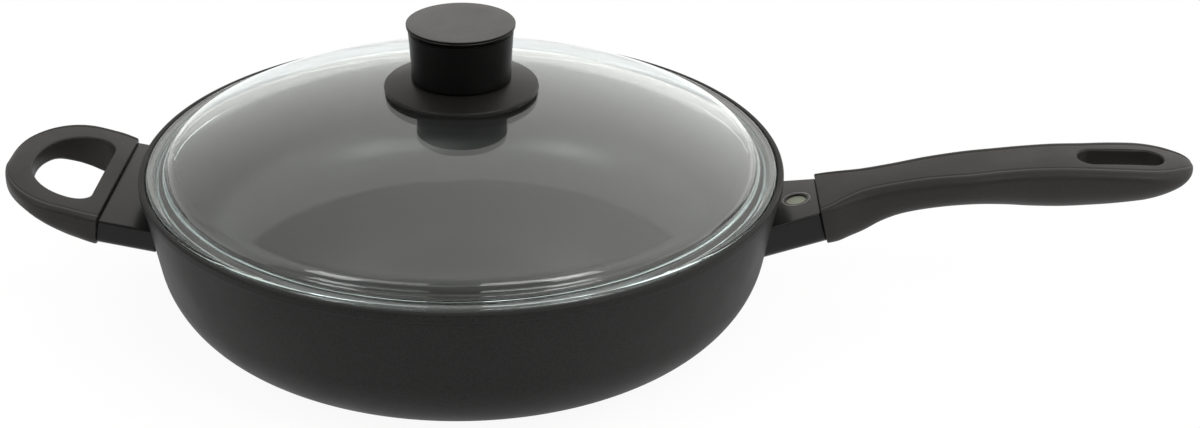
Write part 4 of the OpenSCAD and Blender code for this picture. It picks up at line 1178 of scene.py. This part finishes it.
def make_indicator(scene):
    """Indicator disc and the ring of small marks round it."""
    s = scene.indicator_settings
    disc = cad_copy("indicator_disc", "indicator_dial", "indicator_face")
    settle(disc, PAN_BODY, "indicator", "indicator_disc")
    tick = bpy.data.meshes.new("tick")
    work = bmesh.new()
    bmesh.ops.create_cube(work, size=1.0)
    bmesh.ops.scale(work, vec=Vector(TICK_SIZE), verts=work.verts)
    work.to_mesh(tick)
    work.free()
    ring = ring_of_copies("tick_ring", tick, "tick_paint", s.tick_count, s.tick_r)
    centre = middle_of("indicator_disc") + leaning_up(NECK_SLOPE) * TICK_RISE
    ring.transform(Matrix.Translation(centre) @ Matrix.Rotation(-math.radians(NECK_SLOPE), 4, "Y"))
    obj = new_object("tick_ring", smooth_mesh(ring, 30.0))
    settle(obj, PAN_BODY, "indicator")


FITTINGS = (
    ("handle_bracket", "bare_aluminium", PAN_BODY, "bracket_metal"),
    ("side_bracket", "bare_aluminium", PAN_BODY, "bracket_metal"),
    ("handle_screw", "plain_steel", PAN_BODY, "screw_steel"),
    ("handle_washer", "plain_steel", PAN_BODY, "washer_steel"),
    ("side_screws", "plain_steel", PAN_BODY, "screw_steel"),
    ("side_washers", "plain_steel", PAN_BODY, "washer_steel"),
    ("upper_seal", "seal_silicone", LID_BODY, "silicone"),
    ("lower_seal", "seal_silicone", LID_BODY, "silicone"),
    ("knob_insert", "turned_brass", LID_BODY, "insert_brass"),
    ("knob_washer", "plain_steel", LID_BODY, "washer_steel"),
    ("knob_screw", "plain_steel", LID_BODY, "screw_steel"))


def make_fittings(scene):
    """Brackets, screws, washers, seals and the insert."""
    for node, finish_name, body, slot in FITTINGS:
        settle(cad_copy(node, node + "_piece", finish_name), body, slot, node)


# Stage

def floor_material(s):
    """Pale floor whose shadow fades into plain white away from the pan."""
    mat, nodes, out = material("pale_floor")
    path = nodes.add("ShaderNodeLightPath")
    seen = nodes.add("ShaderNodeMath", {0: path.outputs["Is Camera Ray"], 1: path.outputs["Is Glossy Ray"]},
                     operation="MAXIMUM")
    seen = nodes.add("ShaderNodeMath", {0: seen.outputs[0], 1: path.outputs["Is Transmission Ray"]},
                     operation="MAXIMUM")
    place = nodes.add("ShaderNodeTexCoord").outputs["Object"]
    away = nodes.add("ShaderNodeVectorMath", {0: place}, operation="LENGTH")
    clean = nodes.add("ShaderNodeMapRange", {
        "Value": away.outputs["Value"], "From Min": s.clean_from, "From Max": s.clean_to,
        "To Min": s.clean_near, "To Max": 1.0}, interpolation_type="SMOOTHSTEP")
    clean = nodes.add("ShaderNodeMath", {0: clean.outputs["Result"], 1: seen.outputs[0]},
                      operation="MULTIPLY")
    plain = nodes.add("ShaderNodeBsdfPrincipled", {"Base Color": (*s.floor, 1.0), "Roughness": 0.9,
                                                   "Specular IOR Level": 0.0})
    white = nodes.add("ShaderNodeEmission", {"Color": (1.0, 1.0, 1.0, 1.0), "Strength": 1.0})
    mix = nodes.add("ShaderNodeMixShader", {0: clean.outputs[0], 1: plain.outputs[0], 2: white.outputs[0]})
    nodes.tree.links.new(mix.outputs[0], out.inputs["Surface"])
    return mat


# Way to the opening's middle, and the cosines of the angle from it where the dark is full and where it ends
OPENING_WAY, OPENING_FULL, OPENING_END = (0.0, -0.8572, 0.515), 0.95, 0.56
# Heights of the view's way, 1 being straight up, between which the low part ends and the gap above begins
LOW_FULL, LOW_END, GAP_START, GAP_FULL = 0.13, 0.16, 0.92, 0.98


def make_world(scene, s):
    """White tent, open and darker round the camera, with a plain white to look at."""
    world = bpy.data.worlds.new("white_tent")
    scene.world = world
    world.use_nodes = True
    nodes = Nodes(world.node_tree)
    out = nodes.add("ShaderNodeOutputWorld")
    path = nodes.add("ShaderNodeLightPath")
    way = nodes.add("ShaderNodeTexCoord").outputs["Generated"]
    front = nodes.add("ShaderNodeVectorMath", {0: way, 1: OPENING_WAY}, operation="DOT_PRODUCT")
    tent = nodes.add("ShaderNodeMapRange", {
        "Value": front.outputs["Value"], "From Min": OPENING_END, "From Max": OPENING_FULL,
        "To Min": s.tent, "To Max": s.tent_front}, interpolation_type="SMOOTHSTEP")
    parts = nodes.add("ShaderNodeSeparateXYZ", {0: way})
    low = nodes.add("ShaderNodeMapRange", {
        "Value": parts.outputs["Z"], "From Min": LOW_FULL, "From Max": LOW_END,
        "To Min": s.tent_low, "To Max": 1.0}, interpolation_type="SMOOTHSTEP")
    across = nodes.add("ShaderNodeMapRange", {
        "Value": parts.outputs["X"], "From Min": -0.5, "From Max": 0.5,
        "To Min": s.tent_left, "To Max": s.tent_right})
    gap = nodes.add("ShaderNodeMapRange", {
        "Value": parts.outputs["Z"], "From Min": GAP_START, "From Max": GAP_FULL,
        "To Min": 1.0, "To Max": s.tent_gap}, interpolation_type="SMOOTHSTEP")
    light = tent
    for factor in (low, gap, across):
        light = nodes.add("ShaderNodeMath", {0: light.outputs[0], 1: factor.outputs[0]},
                          operation="MULTIPLY")
    shine = nodes.add("ShaderNodeBackground", {"Color": (*s.tent_tone, 1.0), "Strength": light.outputs[0]})
    white = nodes.add("ShaderNodeBackground", {"Color": (1.0, 1.0, 1.0, 1.0), "Strength": 1.0})
    mix = nodes.add("ShaderNodeMixShader", {0: path.outputs["Is Camera Ray"], 1: shine.outputs[0],
                                            2: white.outputs[0]})
    nodes.tree.links.new(mix.outputs[0], out.inputs["Surface"])


def make_lamp(scene, name, place, target, size, power):
    """Soft lamp, with its length and width, that points at a target."""
    data = bpy.data.lights.new(name, "AREA")
    data.shape, data.energy = "RECTANGLE", power
    data.size, data.size_y = size
    lamp = bpy.data.objects.new(name, data)
    lamp.location = place
    lamp.rotation_euler = (Vector(target) - Vector(place)).to_track_quat("-Z", "Y").to_euler()
    scene.collection.objects.link(lamp)


def make_camera(scene, s):
    """Camera at the photograph's viewing angle."""
    pitch, yaw, roll = s.pitch, s.yaw, s.roll
    forward = Vector((-math.sin(yaw) * math.cos(pitch), math.cos(yaw) * math.cos(pitch), -math.sin(pitch)))
    right = Vector((math.cos(yaw), math.sin(yaw), 0.0))
    up = right.cross(forward)
    right, up = right * math.cos(roll) + up * math.sin(roll), up * math.cos(roll) - right * math.sin(roll)
    data = bpy.data.cameras.new("camera")
    data.sensor_fit, data.sensor_width, data.lens = "HORIZONTAL", 36.0, s.lens
    data.shift_x, data.shift_y = s.shift_x, s.shift_y
    data.clip_start, data.clip_end = 0.05, 30.0
    camera = bpy.data.objects.new("camera", data)
    turn = Matrix((right, up, -forward)).transposed().to_4x4()
    camera.matrix_world = Matrix.Translation(Vector(s.camera_place)) @ turn
    scene.collection.objects.link(camera)
    scene.camera = camera


FLOOR_HALF, FLOOR_DROP, AIM_Z = 12.0, 0.1 * MM, 50 * MM


def make_stage(scene):
    """Floor, world, lamps and camera."""
    s = scene.stage_settings
    mesh = bpy.data.meshes.new("floor")
    corners = [(-FLOOR_HALF, -FLOOR_HALF), (FLOOR_HALF, -FLOOR_HALF), (FLOOR_HALF, FLOOR_HALF),
               (-FLOOR_HALF, FLOOR_HALF)]
    mesh.from_pydata([(x, y, -FLOOR_DROP) for x, y in corners], [], [(0, 1, 2, 3)])
    floor = new_object("floor", mesh)
    mesh.materials.append(floor_material(s))
    make_world(scene, s)
    for name, side, power in (("left", -1, 1.0), ("right", 1, s.over_ratio)):
        x, y, z = s.over_place
        make_lamp(scene, "bar_" + name, (side * x, y, z), (side * x, 0, AIM_Z),
                  (s.over_length, s.over_width), s.over * power)
        x, y, z = s.side_place
        make_lamp(scene, "front_" + name, (side * x, y, z), (0, 0, AIM_Z), (s.side_size, s.side_size),
                  s.side)
    make_camera(scene, s)
    scene.view_settings.view_transform = "Standard"


# Operators and panel

class PAN_OT_make_pan(bpy.types.Operator):
    """Build the coated pan body"""

    bl_idname = "braising_pan.make_pan"
    bl_label = "Pan Body"
    bl_options = {"REGISTER", "UNDO"}

    def execute(self, context):
        make_pan_body(context.scene)
        return {"FINISHED"}


class PAN_OT_make_disc(bpy.types.Operator):
    """Build the steel disc and its pegs"""

    bl_idname = "braising_pan.make_disc"
    bl_label = "Induction Disc"
    bl_options = {"REGISTER", "UNDO"}

    def execute(self, context):
        make_disc(context.scene)
        return {"FINISHED"}


class PAN_OT_make_glass(bpy.types.Operator):
    """Build the domed glass"""

    bl_idname = "braising_pan.make_glass"
    bl_label = "Glass Lid"
    bl_options = {"REGISTER", "UNDO"}

    def execute(self, context):
        make_glass(context.scene)
        return {"FINISHED"}


class PAN_OT_make_knob(bpy.types.Operator):
    """Build the flange, the grip and the cap"""

    bl_idname = "braising_pan.make_knob"
    bl_label = "Knob"
    bl_options = {"REGISTER", "UNDO"}

    def execute(self, context):
        make_flange(context.scene)
        make_grip(context.scene)
        make_cap(context.scene)
        return {"FINISHED"}


class PAN_OT_make_long_handle(bpy.types.Operator):
    """Build the handle with the slot"""

    bl_idname = "braising_pan.make_long_handle"
    bl_label = "Long Handle"
    bl_options = {"REGISTER", "UNDO"}

    def execute(self, context):
        make_long_handle(context.scene)
        return {"FINISHED"}


class PAN_OT_make_loop_handle(bpy.types.Operator):
    """Build the handle with the finger opening"""

    bl_idname = "braising_pan.make_loop_handle"
    bl_label = "Loop Handle"
    bl_options = {"REGISTER", "UNDO"}

    def execute(self, context):
        make_loop_handle(context.scene)
        return {"FINISHED"}


class PAN_OT_make_necks(bpy.types.Operator):
    """Build the two necks at the wall"""

    bl_idname = "braising_pan.make_necks"
    bl_label = "Necks"
    bl_options = {"REGISTER", "UNDO"}

    def execute(self, context):
        make_necks(context.scene)
        return {"FINISHED"}


class PAN_OT_make_indicator(bpy.types.Operator):
    """Build the indicator and its marks"""

    bl_idname = "braising_pan.make_indicator"
    bl_label = "Heat Indicator"
    bl_options = {"REGISTER", "UNDO"}

    def execute(self, context):
        make_indicator(context.scene)
        return {"FINISHED"}


class PAN_OT_make_fittings(bpy.types.Operator):
    """Dress brackets, screws, washers and seals"""

    bl_idname = "braising_pan.make_fittings"
    bl_label = "Fittings"
    bl_options = {"REGISTER", "UNDO"}

    def execute(self, context):
        make_fittings(context.scene)
        return {"FINISHED"}


class PAN_OT_make_stage(bpy.types.Operator):
    """Set up floor, light and camera"""

    bl_idname = "braising_pan.make_stage"
    bl_label = "Stage"
    bl_options = {"REGISTER", "UNDO"}

    def execute(self, context):
        make_stage(context.scene)
        return {"FINISHED"}


OPERATORS = (
    PAN_OT_make_pan,
    PAN_OT_make_disc,
    PAN_OT_make_glass,
    PAN_OT_make_knob,
    PAN_OT_make_long_handle,
    PAN_OT_make_loop_handle,
    PAN_OT_make_necks,
    PAN_OT_make_indicator,
    PAN_OT_make_fittings,
    PAN_OT_make_stage,
)


class PAN_PT_dresser(bpy.types.Panel):
    """Lists the settings and the pieces."""

    bl_label = "Braising Pan"
    bl_space_type = "VIEW_3D"
    bl_region_type = "UI"
    bl_category = "Braising Pan"

    def draw(self, context):
        """Draw each group of settings and a button for each piece."""
        for key, kind in SETTINGS.items():
            box = self.layout.box()
            box.label(text=kind.__doc__)
            group = getattr(context.scene, key)
            for prop in kind.__annotations__:
                box.prop(group, prop)
        for operator in OPERATORS:
            self.layout.operator(operator.bl_idname)


CLASSES = (*SETTINGS.values(), *OPERATORS, PAN_PT_dresser)


def register():
    """Register the classes and hang the settings on the scene."""
    for cls in CLASSES:
        bpy.utils.register_class(cls)
    for key, kind in SETTINGS.items():
        setattr(bpy.types.Scene, key, bpy.props.PointerProperty(type=kind))


def unregister():
    """Remove the settings and the classes."""
    for key in SETTINGS:
        delattr(bpy.types.Scene, key)
    for cls in reversed(CLASSES):
        bpy.utils.unregister_class(cls)


def main():
    register()
    for operator in OPERATORS:
        getattr(bpy.ops.braising_pan, operator.bl_idname.split(".")[1])()
    bpy.context.view_layer.update()


if __name__ == "__main__":
    main()
